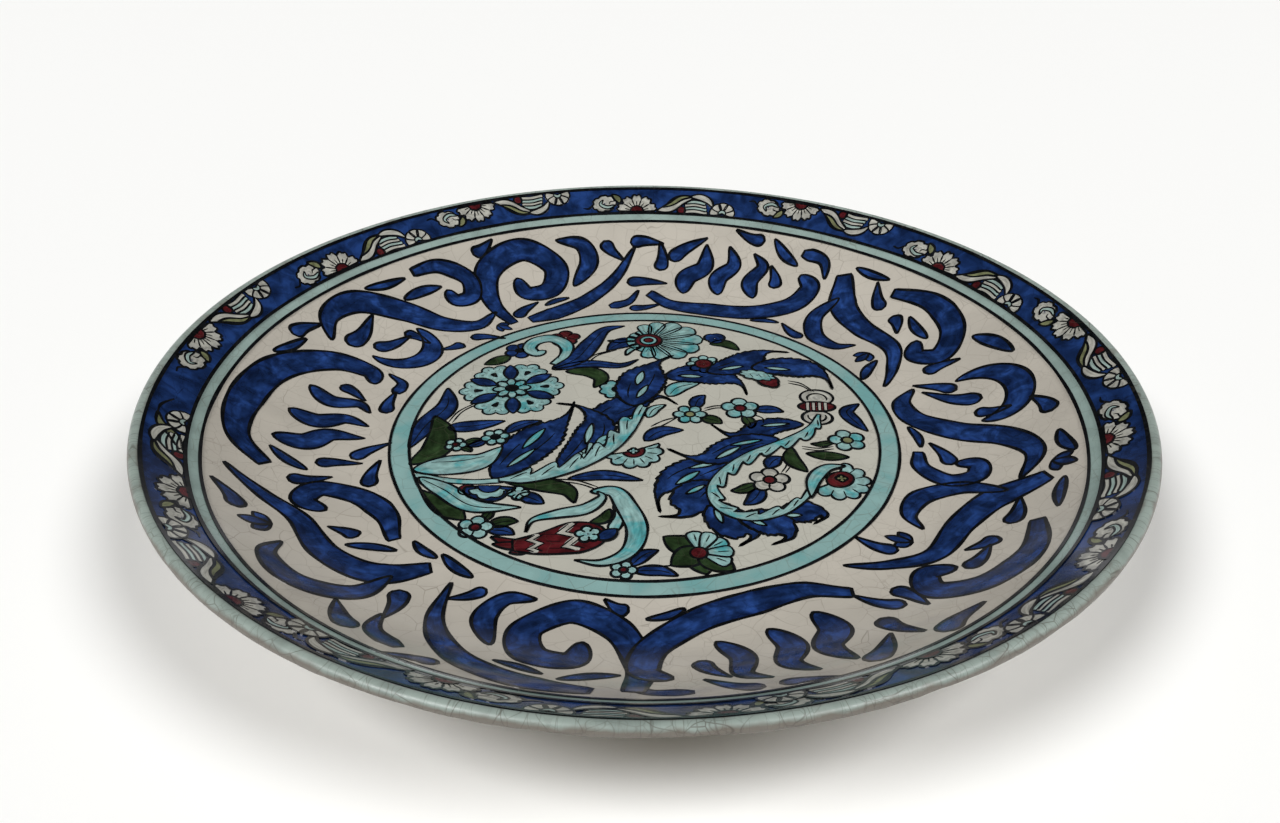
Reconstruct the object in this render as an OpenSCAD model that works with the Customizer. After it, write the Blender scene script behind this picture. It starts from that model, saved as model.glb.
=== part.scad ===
// Hand painted footed plate. A thrown clay dish stands on a turned foot ring, and
// the slip, colours and glaze lie on it zone by zone, each in a thin skin.
// Origin: centre of the foot ring's underside, +Z up.

/* [Dish] */
// Overall diameter over the lip
plate_d = 300; // [290:1:330]
// Diameter of the flat floor inside the dish
floor_d = 168.8; // [166:0.2:176]
// Radius of the curve that turns the floor up into the wall
curve_r = 76; // [60:1:78]
// Slope of the straight wall above the curve, in degrees
wall_angle = 35; // [28:1:38]
// Thickness of the dish at its floor
floor_t = 6; // [5:0.5:8]
// Thickness of the wall where it ends in the round lip
lip_t = 3.6; // [3.2:0.1:5]

/* [Foot ring] */
// Height of the foot ring
foot_h = 7; // [4:0.5:14]
// Width of the foot ring where it meets the dish
foot_w = 8; // [6:0.5:12]
// Bevel on both lower edges of the foot ring
foot_bevel = 1.2; // [0.5:0.1:2]

/* [Decoration zones] */
// Diameter of the painted medallion on the floor
medallion_d = 150.1; // [140:0.1:151]
// Width of each thin black brush line
line_w = 0.9; // [0.6:0.1:1]
// Width of the turquoise ring round the medallion
medallion_ring_w = 5.25; // [4:0.05:5.5]
// Outer radius of the band of brushwork on the curved wall
scroll_band_r = 132.75; // [128:0.05:133]
// Width of the pale turquoise ring above the brushwork
border_ring_w = 2.4; // [2:0.1:2.8]
// Width of the cobalt border below the rim, measured level
cobalt_w = 9.2; // [8:0.1:9.4]

/* [Skins] */
// Thickness of slip, colour and glaze together
skin_t = 0.4; // [0.3:0.05:0.6]
// How far round the lip the rim glaze runs, in degrees below level
glaze_drip = 10; // [5:1:40]

/* [Hidden] */
$fn = 180;

clay = "#9c8f80";
off_white = "#c4bdb1";
turquoise = "#84afa9";
pale_turquoise = "#8fa9a2";
cobalt = "#1c3678";
brush_black = "#15181c";
rim_grey = "#9aa69e";

floor_r = floor_d / 2;
face_level = foot_h + floor_t;
curve_end_r = floor_r + curve_r * sin(wall_angle);
curve_end_z = curve_r * (1 - cos(wall_angle));

// The zones' limits, from the middle out
medallion_r = medallion_d / 2;
medallion_ring_in = medallion_r + line_w;
medallion_ring_out = medallion_ring_in + medallion_ring_w;
scroll_band_in = medallion_ring_out + line_w;
border_ring_in = scroll_band_r + line_w;
border_ring_out = border_ring_in + border_ring_w;
cobalt_in = border_ring_out + line_w;
cobalt_out = cobalt_in + cobalt_w;
rim_glaze_in = cobalt_out + line_w;

// Slope of the painted face at a radius, in degrees
function slope(r) =
    r <= floor_r ? 0
    : r >= curve_end_r ? wall_angle
    : asin((r - floor_r) / curve_r);

// Height of the painted face above the dish's floor
function rise(r) =
    r >= curve_end_r ? curve_end_z + (r - curve_end_r) * tan(wall_angle)
    : curve_r * (1 - cos(slope(r)));

// The point at a depth under the painted face, measured square to the face
function under(r, depth) =
    [r + depth * sin(slope(r)), face_level + rise(r) - depth * cos(slope(r))];

// The radii that a stretch of the profile passes through
curve_steps = 12;
stations = [for (i = [0 : curve_steps]) floor_r + curve_r * sin(wall_angle * i / curve_steps)];
function radii(from, to) = concat([from], [for (s = stations) if (s > from && s < to) s], [to]);

function backwards(list) = [for (i = [len(list) - 1 : -1 : 0]) list[i]];

// The lip is a half circle, and the wall's two faces run into it
lip_r = lip_t / 2;
lip_x = plate_d / 2 - lip_r;
wall_end_r = lip_x - lip_r * sin(wall_angle);
lip_centre = under(wall_end_r, lip_r);
function lip_arc(radius, from, to, steps = 16) =
    [for (i = [0 : steps])
        let (a = from + (to - from) * i / steps)
        lip_centre + radius * [cos(a), sin(a)]];
lip_top = 90 + wall_angle;
lip_under = wall_angle - 90;

// Thickness of the dish, which thins evenly from the floor to the lip
function thickness(r) =
    r <= floor_r ? floor_t
    : floor_t + (lip_t - floor_t) * (r - floor_r) / (wall_end_r - floor_r);

// The back glaze starts outside the foot ring and stops short of the lip
back_glaze_in = floor_r + 1.5;
back_glaze_out = wall_end_r - 2;

// A stretch of the painted face, one skin thick
module face_skin(from, to) {
    path = radii(from, to);
    rotate_extrude()
        polygon(concat(
            [for (r = path) under(r, 0)],
            [for (r = backwards(path)) under(r, skin_t)]
        ));
}

// The dish: floor, curve, wall and lip, less the skins on both faces
module clay_body() {
    path = radii(0, wall_end_r);
    color(clay)
        rotate_extrude()
            polygon(concat(
                [for (r = path) under(r, skin_t)],
                lip_arc(lip_r - skin_t, lip_top, lip_under),
                [for (r = backwards(radii(back_glaze_in, wall_end_r)))
                    under(r, thickness(r) - skin_t)],
                [for (r = backwards(radii(floor_r, back_glaze_in))) under(r, thickness(r))],
                [[0, foot_h]]
            ));
}

// The ring that the dish stands on, bevelled where it was wiped clean of glaze
module foot_ring() {
    inner_r = floor_r - foot_w;
    taper = foot_h * tan(8);
    color(clay)
        rotate_extrude()
            polygon([
                [inner_r, foot_h],
                [floor_r, foot_h],
                [floor_r - taper / 2, foot_bevel],
                [floor_r - taper / 2 - foot_bevel, 0],
                [inner_r + taper / 2 + foot_bevel, 0],
                [inner_r + taper / 2, foot_bevel]
            ]);
}

module medallion_ground() {
    color(off_white) face_skin(0, medallion_r);
}

module medallion_inner_line() {
    color(brush_black) face_skin(medallion_r, medallion_ring_in);
}

module medallion_ring() {
    color(turquoise) face_skin(medallion_ring_in, medallion_ring_out);
}

module medallion_outer_line() {
    color(brush_black) face_skin(medallion_ring_out, scroll_band_in);
}

module scroll_band_ground() {
    color(off_white) face_skin(scroll_band_in, scroll_band_r);
}

module border_inner_line() {
    color(brush_black) face_skin(scroll_band_r, border_ring_in);
}

module border_ring() {
    color(pale_turquoise) face_skin(border_ring_in, border_ring_out);
}

module border_middle_line() {
    color(brush_black) face_skin(border_ring_out, cobalt_in);
}

module cobalt_border() {
    color(cobalt) face_skin(cobalt_in, cobalt_out);
}

module rim_line() {
    color(brush_black) face_skin(cobalt_out, rim_glaze_in);
}

// The grey-turquoise glaze that wraps the top half of the lip
module rim_glaze() {
    color(rim_grey)
        rotate_extrude()
            polygon(concat(
                [under(rim_glaze_in, 0)],
                lip_arc(lip_r, lip_top, -glaze_drip),
                backwards(lip_arc(lip_r - skin_t, lip_top, -glaze_drip)),
                [under(rim_glaze_in, skin_t)]
            ));
}

// The clear glaze on the outside of the wall
module back_glaze() {
    path = radii(back_glaze_in, back_glaze_out);
    color(off_white)
        rotate_extrude()
            polygon(concat(
                [for (r = path) under(r, thickness(r) - skin_t)],
                [for (r = backwards(path)) under(r, thickness(r))]
            ));
}

// The glazed disc inside the foot ring
module foot_well_glaze() {
    well_r = floor_r - foot_w;
    color(off_white)
        translate([0, 0, foot_h - skin_t])
            cylinder(h = skin_t, r = well_r);
}

clay_body();
foot_ring();
medallion_ground();
medallion_inner_line();
medallion_ring();
medallion_outer_line();
scroll_band_ground();
border_inner_line();
border_ring();
border_middle_line();
cobalt_border();
rim_line();
rim_glaze();
back_glaze();
foot_well_glaze();
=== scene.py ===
"""Hand painted footed plate: glazed ceramic, painted zone by zone, on a pale studio floor."""

import cmath
import math
import random

import bpy
import numpy as np
from mathutils import Euler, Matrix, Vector, noise


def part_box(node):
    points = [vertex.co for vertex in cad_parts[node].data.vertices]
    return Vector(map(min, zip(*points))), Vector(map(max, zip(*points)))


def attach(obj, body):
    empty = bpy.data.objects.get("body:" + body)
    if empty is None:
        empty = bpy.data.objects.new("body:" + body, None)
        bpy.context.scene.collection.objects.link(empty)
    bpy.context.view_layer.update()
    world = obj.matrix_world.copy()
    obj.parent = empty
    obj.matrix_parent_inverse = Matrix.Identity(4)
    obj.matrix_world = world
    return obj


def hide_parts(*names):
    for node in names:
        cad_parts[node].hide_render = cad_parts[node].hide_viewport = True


bl_info = {
    "name": "Hand painted plate",
    "version": (1, 0, 0),
    "blender": (4, 5, 0),
    "location": "3D View > Sidebar > Plate",
    "description": "Builds a hand painted ceramic plate around its packed frame",
    "category": "Object",
}

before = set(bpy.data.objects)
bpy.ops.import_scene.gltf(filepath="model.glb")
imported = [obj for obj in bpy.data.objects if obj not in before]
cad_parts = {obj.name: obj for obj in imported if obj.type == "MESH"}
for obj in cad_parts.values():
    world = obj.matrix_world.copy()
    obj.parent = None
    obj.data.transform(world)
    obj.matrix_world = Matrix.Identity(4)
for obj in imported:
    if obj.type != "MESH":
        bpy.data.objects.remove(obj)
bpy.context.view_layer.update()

MM = 0.001
TURN = 2 * math.pi


def linear(hex_colour):
    """A colour given as sRGB hex, in the linear values that Blender works with."""
    channels = [int(hex_colour[i:i + 2], 16) / 255 for i in (1, 3, 5)]
    return [c / 12.92 if c <= 0.04045 else ((c + 0.055) / 1.055) ** 2.4 for c in channels]


# ---------------------------------------------------------------- sizes and colours


class PlateSizes(bpy.types.PropertyGroup):
    """The section of the dish, and how thick paint lies on it. Millimetres."""

    floor_radius: bpy.props.FloatProperty(
        name="Floor radius", description="Where the flat floor starts to curve up, in mm",
        default=84.4, min=80, max=90)
    curve_radius: bpy.props.FloatProperty(
        name="Curve radius", description="Radius of the curve between floor and wall, in mm",
        default=76, min=60, max=80)
    wall_angle: bpy.props.FloatProperty(
        name="Wall angle", description="Slope of the wall above the curve",
        default=math.radians(35), subtype="ANGLE")
    floor_thickness: bpy.props.FloatProperty(
        name="Floor thickness", description="Thickness of the dish at its floor, in mm",
        default=6, min=4, max=9)
    lip_thickness: bpy.props.FloatProperty(
        name="Lip thickness", description="Thickness of the wall at the lip, in mm",
        default=3.6, min=3, max=5)
    skin: bpy.props.FloatProperty(
        name="Glaze thickness", description="Slip, colour and glaze together, in mm",
        default=0.4, min=0.2, max=0.8)
    line_width: bpy.props.FloatProperty(
        name="Brush line", description="Usual width of a black brush line, in mm",
        default=0.85, min=0.4, max=1.5)
    paint_step: bpy.props.FloatProperty(
        name="Paint step", description="How far each coat of paint stands above the last, in mm",
        default=0.022, min=0.01, max=0.05)


class PlateColours(bpy.types.PropertyGroup):
    """The colours as they are seen through the glaze."""

    ground: bpy.props.FloatVectorProperty(
        name="Off-white ground", description="White slip under clear glaze",
        default=linear("#B4AEA3"), size=3, subtype="COLOR")
    medallion: bpy.props.FloatVectorProperty(
        name="Medallion ground", description="The ground inside the turquoise ring",
        default=linear("#B2B0A5"), size=3, subtype="COLOR")
    cobalt: bpy.props.FloatVectorProperty(
        name="Cobalt", description="Cobalt blue brush colour",
        default=linear("#152A54"), size=3, subtype="COLOR")
    turquoise: bpy.props.FloatVectorProperty(
        name="Turquoise", description="Copper turquoise of rings, stems and petals",
        default=linear("#7E9F9C"), size=3, subtype="COLOR")
    pale_turquoise: bpy.props.FloatVectorProperty(
        name="Pale turquoise", description="Thin turquoise of the ring below the border",
        default=linear("#8B9E98"), size=3, subtype="COLOR")
    rim: bpy.props.FloatVectorProperty(
        name="Rim", description="Grey-turquoise glaze over the lip",
        default=linear("#8B9790"), size=3, subtype="COLOR")
    black: bpy.props.FloatVectorProperty(
        name="Black", description="Black outline colour",
        default=linear("#090B0D"), size=3, subtype="COLOR")
    red: bpy.props.FloatVectorProperty(
        name="Red", description="Dark red slip",
        default=linear("#481418"), size=3, subtype="COLOR")
    green: bpy.props.FloatVectorProperty(
        name="Green", description="Dark green of the small leaves",
        default=linear("#20301A"), size=3, subtype="COLOR")
    olive: bpy.props.FloatVectorProperty(
        name="Olive", description="Olive shading of the border's leaves",
        default=linear("#6B6E4F"), size=3, subtype="COLOR")
    petal: bpy.props.FloatVectorProperty(
        name="Petal white", description="White reserved for the border's petals",
        default=linear("#A1A097"), size=3, subtype="COLOR")
    clay: bpy.props.FloatVectorProperty(
        name="Clay", description="Bare fired clay, stained by handling",
        default=linear("#8A8378"), size=3, subtype="COLOR")


def sizes():
    """The scene's plate sizes, in millimetres."""
    return bpy.context.scene.plate_sizes


def colours():
    """The scene's plate colours."""
    return bpy.context.scene.plate_colours


# ---------------------------------------------------------------- the plate's section
# Radii and heights are in millimetres here, and are turned to metres as vertices are made.

FACE_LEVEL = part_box("medallion_ground")[1][2] / MM
PLATE_R = max(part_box("rim_glaze")[1][:2]) / MM
FOOT_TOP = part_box("foot_ring")[1][2] / MM
FOOT_R = max(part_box("foot_ring")[1][:2]) / MM
FOOT_WELL_R = max(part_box("foot_well_glaze")[1][:2]) / MM

# The back's glaze starts this far outside the foot ring, and stops this far short of the lip
BACK_GLAZE_GAP = 1.5
BACK_GLAZE_STOP = 2
FACE_SPACING = 1.5
CLAY_SPACING = 2.5


def slope(radius):
    """Slope of the painted face at a radius."""
    s = sizes()
    lean = (np.asarray(radius, float) - s.floor_radius) / s.curve_radius
    return np.arcsin(np.clip(lean, 0, math.sin(s.wall_angle)))


def curve_end():
    """Radius and rise of the face where its curve ends in the straight wall."""
    s = sizes()
    return (s.floor_radius + s.curve_radius * math.sin(s.wall_angle),
            s.curve_radius * (1 - math.cos(s.wall_angle)))


def rise(radius):
    """Height of the painted face above the dish's floor."""
    s = sizes()
    curved = s.curve_radius * (1 - np.cos(slope(radius)))
    beyond = np.maximum(np.asarray(radius, float) - curve_end()[0], 0)
    return curved + beyond * math.tan(s.wall_angle)


def under(radius, depth):
    """(radius, height) of the point at a depth under the painted face, square to the face."""
    lean = slope(radius)
    return (float(radius + depth * np.sin(lean)),
            float(FACE_LEVEL + rise(radius) - depth * np.cos(lean)))


def edge_radius(node):
    """The radius at which a zone of the painted face ends, from its CAD skin."""
    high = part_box(node)[1]
    if high[2] / MM < FACE_LEVEL + 0.01:
        return max(high[:2]) / MM
    end_radius, end_rise = curve_end()
    climb = high[2] / MM - FACE_LEVEL - end_rise
    return end_radius + climb / math.tan(sizes().wall_angle)


def lip():
    """Centre of the round lip, and the face radius at which the lip starts."""
    s = sizes()
    half = s.lip_thickness / 2
    start = PLATE_R - half - half * math.sin(s.wall_angle)
    return under(start, half), start


def thickness(radius):
    """Thickness of the dish, thinning evenly from the floor to the lip."""
    s = sizes()
    start = lip()[1]
    share = min(max((radius - s.floor_radius) / (start - s.floor_radius), 0), 1)
    return s.floor_thickness + (s.lip_thickness - s.floor_thickness) * share


def stations(start, end, spacing=FACE_SPACING):
    """Radii from start to end, close enough for a smooth curve."""
    count = max(1, round(abs(end - start) / spacing))
    return [start + (end - start) * i / count for i in range(count + 1)]


def lip_arc(radius, start, end, steps=14):
    """Points of the section on an arc about the lip's centre, from start to end in degrees."""
    (x, z), _ = lip()
    angles = [math.radians(start + (end - start) * i / steps) for i in range(steps + 1)]
    return [(x + radius * math.cos(a), z + radius * math.sin(a)) for a in angles]


# ---------------------------------------------------------------- materials


def add(tree, kind, settings=None, **inputs):
    """One node with its settings, and its inputs given as values, sockets or nodes to link.
    _0 stands for the first input, and a node stands for its own first output."""
    node = tree.nodes.new(kind)
    for name, value in (settings or {}).items():
        setattr(node, name, value)
    for name, value in inputs.items():
        socket = node.inputs[int(name[1:]) if name[0] == "_" else name.replace("_", " ")]
        if isinstance(value, bpy.types.Node):
            value = value.outputs[0]
        if isinstance(value, bpy.types.NodeSocket):
            tree.links.new(value, socket)
        else:
            socket.default_value = value
    return node


def new_material(name):
    """An empty material and its node tree."""
    material = bpy.data.materials.new(name)
    material.use_nodes = True
    tree = material.node_tree
    tree.nodes.clear()
    return material, tree


def tinted(colour, factor):
    """The colour made lighter or darker, kept inside the range of a surface."""
    return [min(c * factor, 0.95) for c in colour] + [1.0]


def opaque(hex_colour):
    """A colour given as sRGB hex, for a socket that takes four channels."""
    return linear(hex_colour) + [1.0]


def per_metre(size_mm):
    """The scale that gives a pattern features of this size in millimetres."""
    return 1 / (size_mm * MM)


# Every glaze shares one crackle, so a crack runs on from one colour into the next.
CRACK_CELL_MM = 7.6
FINE_CELL_MM = 3.9
CRACK_WIDTH = 0.02  # half the width of a crack, as a share of its cell
CRACK_WANDER_MM = 9
LIP_CRACK_CLOSENESS = 1.9
LIP_SQUEEZE = 0.3

# The brown on the lip starts this far above the level given for it, fades out over this
# height, and its edge wanders down by up to this much.
BROWN_RISE_MM = 2.0
BROWN_FADE_MM = 0.8
BROWN_WANDER_MM = 2.6


def crackle(tree, coords, closeness=1.0):
    """Mask of the cracks in the clear glaze: a coarse net, and a finer one in some places.
    Real cracks are hair thin. These are 0.2 to 0.3 mm wide with soft edges, so that they show."""
    warp = add(tree, "ShaderNodeTexNoise", Vector=coords, Scale=per_metre(22), Detail=2.0)
    bent = add(tree, "ShaderNodeVectorMath", {"operation": "MULTIPLY_ADD"},
               _0=warp.outputs["Color"], _1=[CRACK_WANDER_MM * MM] * 3, _2=coords)
    nets = []
    for cell, width in ((CRACK_CELL_MM, CRACK_WIDTH), (FINE_CELL_MM, CRACK_WIDTH * 1.4)):
        net = add(tree, "ShaderNodeTexVoronoi", {"feature": "DISTANCE_TO_EDGE"},
                  Vector=bent, Scale=per_metre(cell) * closeness)
        nets.append(add(tree, "ShaderNodeMapRange", {"interpolation_type": "SMOOTHSTEP"},
                        Value=net, From_Min=0.0, From_Max=width, To_Min=1.0, To_Max=0.0))
    places = add(tree, "ShaderNodeTexNoise", Vector=coords, Scale=per_metre(60), Detail=1.0)
    some = add(tree, "ShaderNodeMapRange", Value=places,
               From_Min=0.42, From_Max=0.58, To_Min=0.0, To_Max=0.6)
    fine = add(tree, "ShaderNodeMath", {"operation": "MULTIPLY"}, _0=nets[1], _1=some)
    both = add(tree, "ShaderNodeMath", {"operation": "MAXIMUM"}, _0=nets[0], _1=fine)
    fade = add(tree, "ShaderNodeTexNoise", Vector=coords, Scale=per_metre(9), Detail=2.0)
    strength = add(tree, "ShaderNodeMapRange", Value=fade,
                   From_Min=0.3, From_Max=0.65, To_Min=0.25, To_Max=1.0)
    return add(tree, "ShaderNodeMath", {"operation": "MULTIPLY"}, _0=both, _1=strength)


def round_the_lip(tree, coords):
    """Coordinates that run round the plate, squeezed in height, so cracks cross the lip."""
    parts = add(tree, "ShaderNodeSeparateXYZ", Vector=coords)
    turn = add(tree, "ShaderNodeMath", {"operation": "ARCTAN2"},
               _0=parts.outputs["Y"], _1=parts.outputs["X"])
    run = add(tree, "ShaderNodeMath", {"operation": "MULTIPLY"}, _0=turn, _1=PLATE_R * MM)
    low = add(tree, "ShaderNodeMath", {"operation": "MULTIPLY"},
              _0=parts.outputs["Z"], _1=LIP_SQUEEZE)
    return add(tree, "ShaderNodeCombineXYZ", X=run, Y=low)


def washes(tree, coords, colour, spread, patch_mm):
    """The colour in patches of heavy, usual and thin wash."""
    wash = add(tree, "ShaderNodeTexNoise", Vector=coords, Scale=per_metre(patch_mm),
               Detail=4.0, Roughness=0.55, Distortion=0.6)
    ramp = add(tree, "ShaderNodeValToRGB", Fac=wash)
    stops = ramp.color_ramp.elements
    stops.new(0.5)
    for stop, place, shade in zip(stops, (0.36, 0.5, 0.66), spread):
        stop.position = place
        stop.color = opaque(shade) if isinstance(shade, str) else tinted(colour, shade)
    return ramp


def brushed(tree, coords, shade, pooled):
    """The shade darkened where wet colour pooled at a stroke's edges, and streaked along the
    stroke by the hairs of the brush."""
    parts = add(tree, "ShaderNodeSeparateXYZ", Vector=add(tree, "ShaderNodeUVMap", {"uv_map": "brush"}))
    off_middle = add(tree, "ShaderNodeMath", {"operation": "ABSOLUTE"}, _0=parts.outputs["Y"])
    edge = add(tree, "ShaderNodeMapRange", {"interpolation_type": "SMOOTHSTEP"},
               Value=off_middle, From_Min=0.35, From_Max=1.0, To_Min=0.0, To_Max=pooled)
    shade = add(tree, "ShaderNodeMix", {"data_type": "RGBA", "blend_type": "MULTIPLY"},
                _0=edge, _6=shade, _7=(0.45, 0.45, 0.6, 1)).outputs[2]
    run = add(tree, "ShaderNodeCombineXYZ", X=parts.outputs["X"], Y=parts.outputs["Y"])
    # a mark is about 6 mm long, and two or three lie side by side in half a stroke
    long_marks = add(tree, "ShaderNodeVectorMath", {"operation": "MULTIPLY"}, _0=run, _1=(0.16, 2.4, 0))
    # each stroke's marks differ, because its place on the plate is mixed in
    apart = add(tree, "ShaderNodeVectorMath", {"operation": "MULTIPLY_ADD"},
                _0=coords, _1=(30, 30, 0), _2=long_marks)
    hairs = add(tree, "ShaderNodeTexNoise", Vector=apart, Scale=1.0, Detail=3.0)
    streak = add(tree, "ShaderNodeMapRange", Value=hairs,
                 From_Min=0.35, From_Max=0.65, To_Min=0.72, To_Max=1.3)
    grey = add(tree, "ShaderNodeCombineXYZ", X=streak, Y=streak, Z=streak)
    return add(tree, "ShaderNodeMix", {"data_type": "RGBA", "blend_type": "MULTIPLY"},
               _0=1.0, _6=shade, _7=grey).outputs[2]


def browned_below(tree, coords, shade, brown_level):
    """The shade turned brown below a level in mm, browner towards the bottom, in an uneven edge."""
    # the glaze is made browner and darker by height alone, most towards the bottom of the lip
    wobble = add(tree, "ShaderNodeTexNoise", Vector=coords, Scale=per_metre(7), Detail=4.0)
    height = add(tree, "ShaderNodeSeparateXYZ", Vector=coords).outputs["Z"]
    uneven = add(tree, "ShaderNodeMath", {"operation": "MULTIPLY_ADD"},
                 _0=wobble, _1=BROWN_WANDER_MM * MM, _2=height)
    full = (brown_level + BROWN_RISE_MM) * MM
    browning = add(tree, "ShaderNodeMapRange", Value=uneven, From_Min=full,
               From_Max=full + BROWN_FADE_MM * MM, To_Min=0.9, To_Max=0.0)
    return add(tree, "ShaderNodeMix", {"data_type": "RGBA"},
               _0=browning, _6=shade, _7=opaque("#6A6259")).outputs[2]


def glaze(name, colour, spread, patch_mm, pooled=0.0, crack_tint="#5A5348", crack=0.45,
          roughness=0.1, brown_level=None):
    """Colour laid under a clear glaze and fired: glossy, faintly pitted, crackled.
    spread gives the heavy, usual and thin washes, as factors or as colours of their own.
    pooled is how far a stroke darkens towards its edges. Below brown_level, in mm, the glaze
    turns brown, browner towards the bottom, and more cracks run across it."""
    if name in bpy.data.materials:
        return bpy.data.materials[name]
    material, tree = new_material(name)
    coords = add(tree, "ShaderNodeTexCoord").outputs["Object"]
    shade = washes(tree, coords, colour, spread, patch_mm)
    cracks = crackle(tree, coords)
    if pooled:
        shade = brushed(tree, coords, shade, pooled)
    if brown_level is not None:
        shade = browned_below(tree, coords, shade, brown_level)
        across = crackle(tree, round_the_lip(tree, coords), LIP_CRACK_CLOSENESS)
        cracks = add(tree, "ShaderNodeMath", {"operation": "MAXIMUM"}, _0=cracks, _1=across)
    amount = add(tree, "ShaderNodeMath", {"operation": "MULTIPLY"}, _0=cracks, _1=crack)
    shade = add(tree, "ShaderNodeMix", {"data_type": "RGBA"},
                _0=amount, _6=shade, _7=opaque(crack_tint)).outputs[2]
    ripple = add(tree, "ShaderNodeTexNoise", Vector=coords, Scale=per_metre(14), Detail=1.0)
    pits = add(tree, "ShaderNodeTexNoise", Vector=coords, Scale=per_metre(0.9), Detail=2.0)
    height = add(tree, "ShaderNodeMath", {"operation": "MULTIPLY_ADD"}, _0=pits, _1=0.04, _2=ripple)
    sunk = add(tree, "ShaderNodeMath", {"operation": "MULTIPLY_ADD"}, _0=cracks, _1=-0.06, _2=height)
    bump = add(tree, "ShaderNodeBump", Height=sunk, Strength=0.35, Distance=0.25 * MM)
    gloss = add(tree, "ShaderNodeMapRange", Value=pits,
                To_Min=roughness * 0.7, To_Max=roughness * 1.5)
    shader = add(tree, "ShaderNodeBsdfPrincipled", Base_Color=shade, Roughness=gloss,
                 Normal=bump, IOR=1.5)
    add(tree, "ShaderNodeOutputMaterial", Surface=shader)
    return material


def white_glaze():
    """Off-white slip under clear glaze: warm, slightly uneven, with the crackle plain to see."""
    return glaze("off_white_slip_glaze", colours().ground, (0.93, 1.0, 1.06), 26.0,
                 crack_tint="#665F54", crack=0.48)


def medallion_glaze():
    """The same glaze where turquoise has bled into it: a touch greener and cooler."""
    return glaze("off_white_medallion_glaze", colours().medallion, (0.95, 1.0, 1.04), 30.0,
                 crack_tint="#665F54", crack=0.48)


def cobalt_wash():
    """Cobalt oxide laid on with a full brush: deep blue, mottled, darker where it pooled."""
    return glaze("cobalt_wash", colours().cobalt, (0.5, 1.0, 2.2), 6.0, 0.6,
                 crack_tint="#05070F", crack=0.4)


def cobalt_ground():
    """Cobalt oxide painted round the border's flowers in short strokes, so it is patchy."""
    return glaze("cobalt_border_ground", colours().cobalt, (0.5, 1.0, 1.9), 7.0,
                 crack_tint="#05070F", crack=0.5)


def turquoise_wash():
    """Copper turquoise, thin enough for the white slip to show through in patches."""
    return glaze("turquoise_wash", colours().turquoise, ("#4A9093", 1.0, 1.12), 10.0, 0.3, crack=0.4)


def turquoise_ring_glaze():
    """Copper turquoise laid on as the plate turned: long soft patches, cracked like the ground."""
    return glaze("turquoise_ring_wash", colours().turquoise, ("#6C9A99", 1.0, 1.12), 18.0, crack=0.5)


def pale_turquoise_glaze():
    """The same turquoise thinned: a grey-green ring hardly darker than the ground."""
    return glaze("pale_turquoise_wash", colours().pale_turquoise, (0.85, 1.0, 1.1), 14.0, crack=0.5)


def rim_grey_glaze():
    """Grey-turquoise glaze on the lip, worn satin, where dirt has settled in close set cracks."""
    return glaze("rim_grey_glaze", colours().rim, (0.82, 1.0, 1.08), 10.0, crack_tint="#4A453C",
                 crack=0.8, roughness=0.36, brown_level=lip()[0][1])


def black_line():
    """Manganese black drawn with a fine brush: nearly even, a little thin in places."""
    return glaze("manganese_black_line", colours().black, (0.8, 1.0, 2.4), 5.0, crack=0.15)


def red_slip():
    """Iron-rich red slip, laid on thick: deep, with darker edges and hardly any crackle."""
    return glaze("iron_red_slip", colours().red, (0.6, 1.0, 1.35), 4.0, 0.4, crack=0.3)


def green_wash():
    """Copper green painted dark: nearly black where the brush was full."""
    return glaze("copper_green_wash", colours().green, (0.6, 1.0, 1.6), 5.0, 0.4, crack=0.3)


def pale_wash():
    """Turquoise thinned with water: a grey-green tint with faint edges."""
    return glaze("thin_turquoise_wash", colours().pale_turquoise, (0.85, 1.0, 1.15), 8.0, 0.2, crack=0.4)


def olive_wash():
    """Green and black mixed on the brush: a dull olive, uneven from stroke to stroke."""
    return glaze("olive_wash", colours().olive, (0.6, 1.0, 1.3), 4.0, crack=0.3)


def petal_white():
    """Slip left white between the border's strokes: a little grey towards each petal's edge."""
    return glaze("reserved_white_petal", colours().petal, (0.85, 1.0, 1.1), 6.0, 0.25, crack=0.4)


def bare_clay():
    """Stonepaste biscuit, unglazed: matt, sandy, and stained brown where hands have held it."""
    if "stonepaste_biscuit" in bpy.data.materials:
        return bpy.data.materials["stonepaste_biscuit"]
    material, tree = new_material("stonepaste_biscuit")
    coords = add(tree, "ShaderNodeTexCoord").outputs["Object"]
    stain = add(tree, "ShaderNodeTexNoise", Vector=coords, Scale=per_metre(12), Detail=5.0, Roughness=0.65)
    ramp = add(tree, "ShaderNodeValToRGB", Fac=stain)
    brown, plain = ramp.color_ramp.elements
    brown.position = 0.35
    brown.color = opaque("#5E4A3C")
    plain.position = 0.6
    plain.color = tinted(colours().clay, 1.0)
    grit = add(tree, "ShaderNodeTexNoise", Vector=coords, Scale=per_metre(0.7), Detail=3.0)
    bump = add(tree, "ShaderNodeBump", Height=grit, Strength=0.5, Distance=0.2 * MM)
    shader = add(tree, "ShaderNodeBsdfPrincipled", Base_Color=ramp, Roughness=0.75, Normal=bump)
    add(tree, "ShaderNodeOutputMaterial", Surface=shader)
    return material


# ---------------------------------------------------------------- turned pieces


def deselect():
    """Clears the selection, since an operator acts on all that is selected."""
    bpy.ops.object.select_all(action="DESELECT")


def finish_piece(piece, material, nodes=()):
    """Gives a piece its material, its body and the CAD nodes that it stands in for."""
    piece.data.materials.clear()
    piece.data.materials.append(material)
    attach(piece, "root")
    if nodes:
        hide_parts(*nodes)
    return piece


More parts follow.
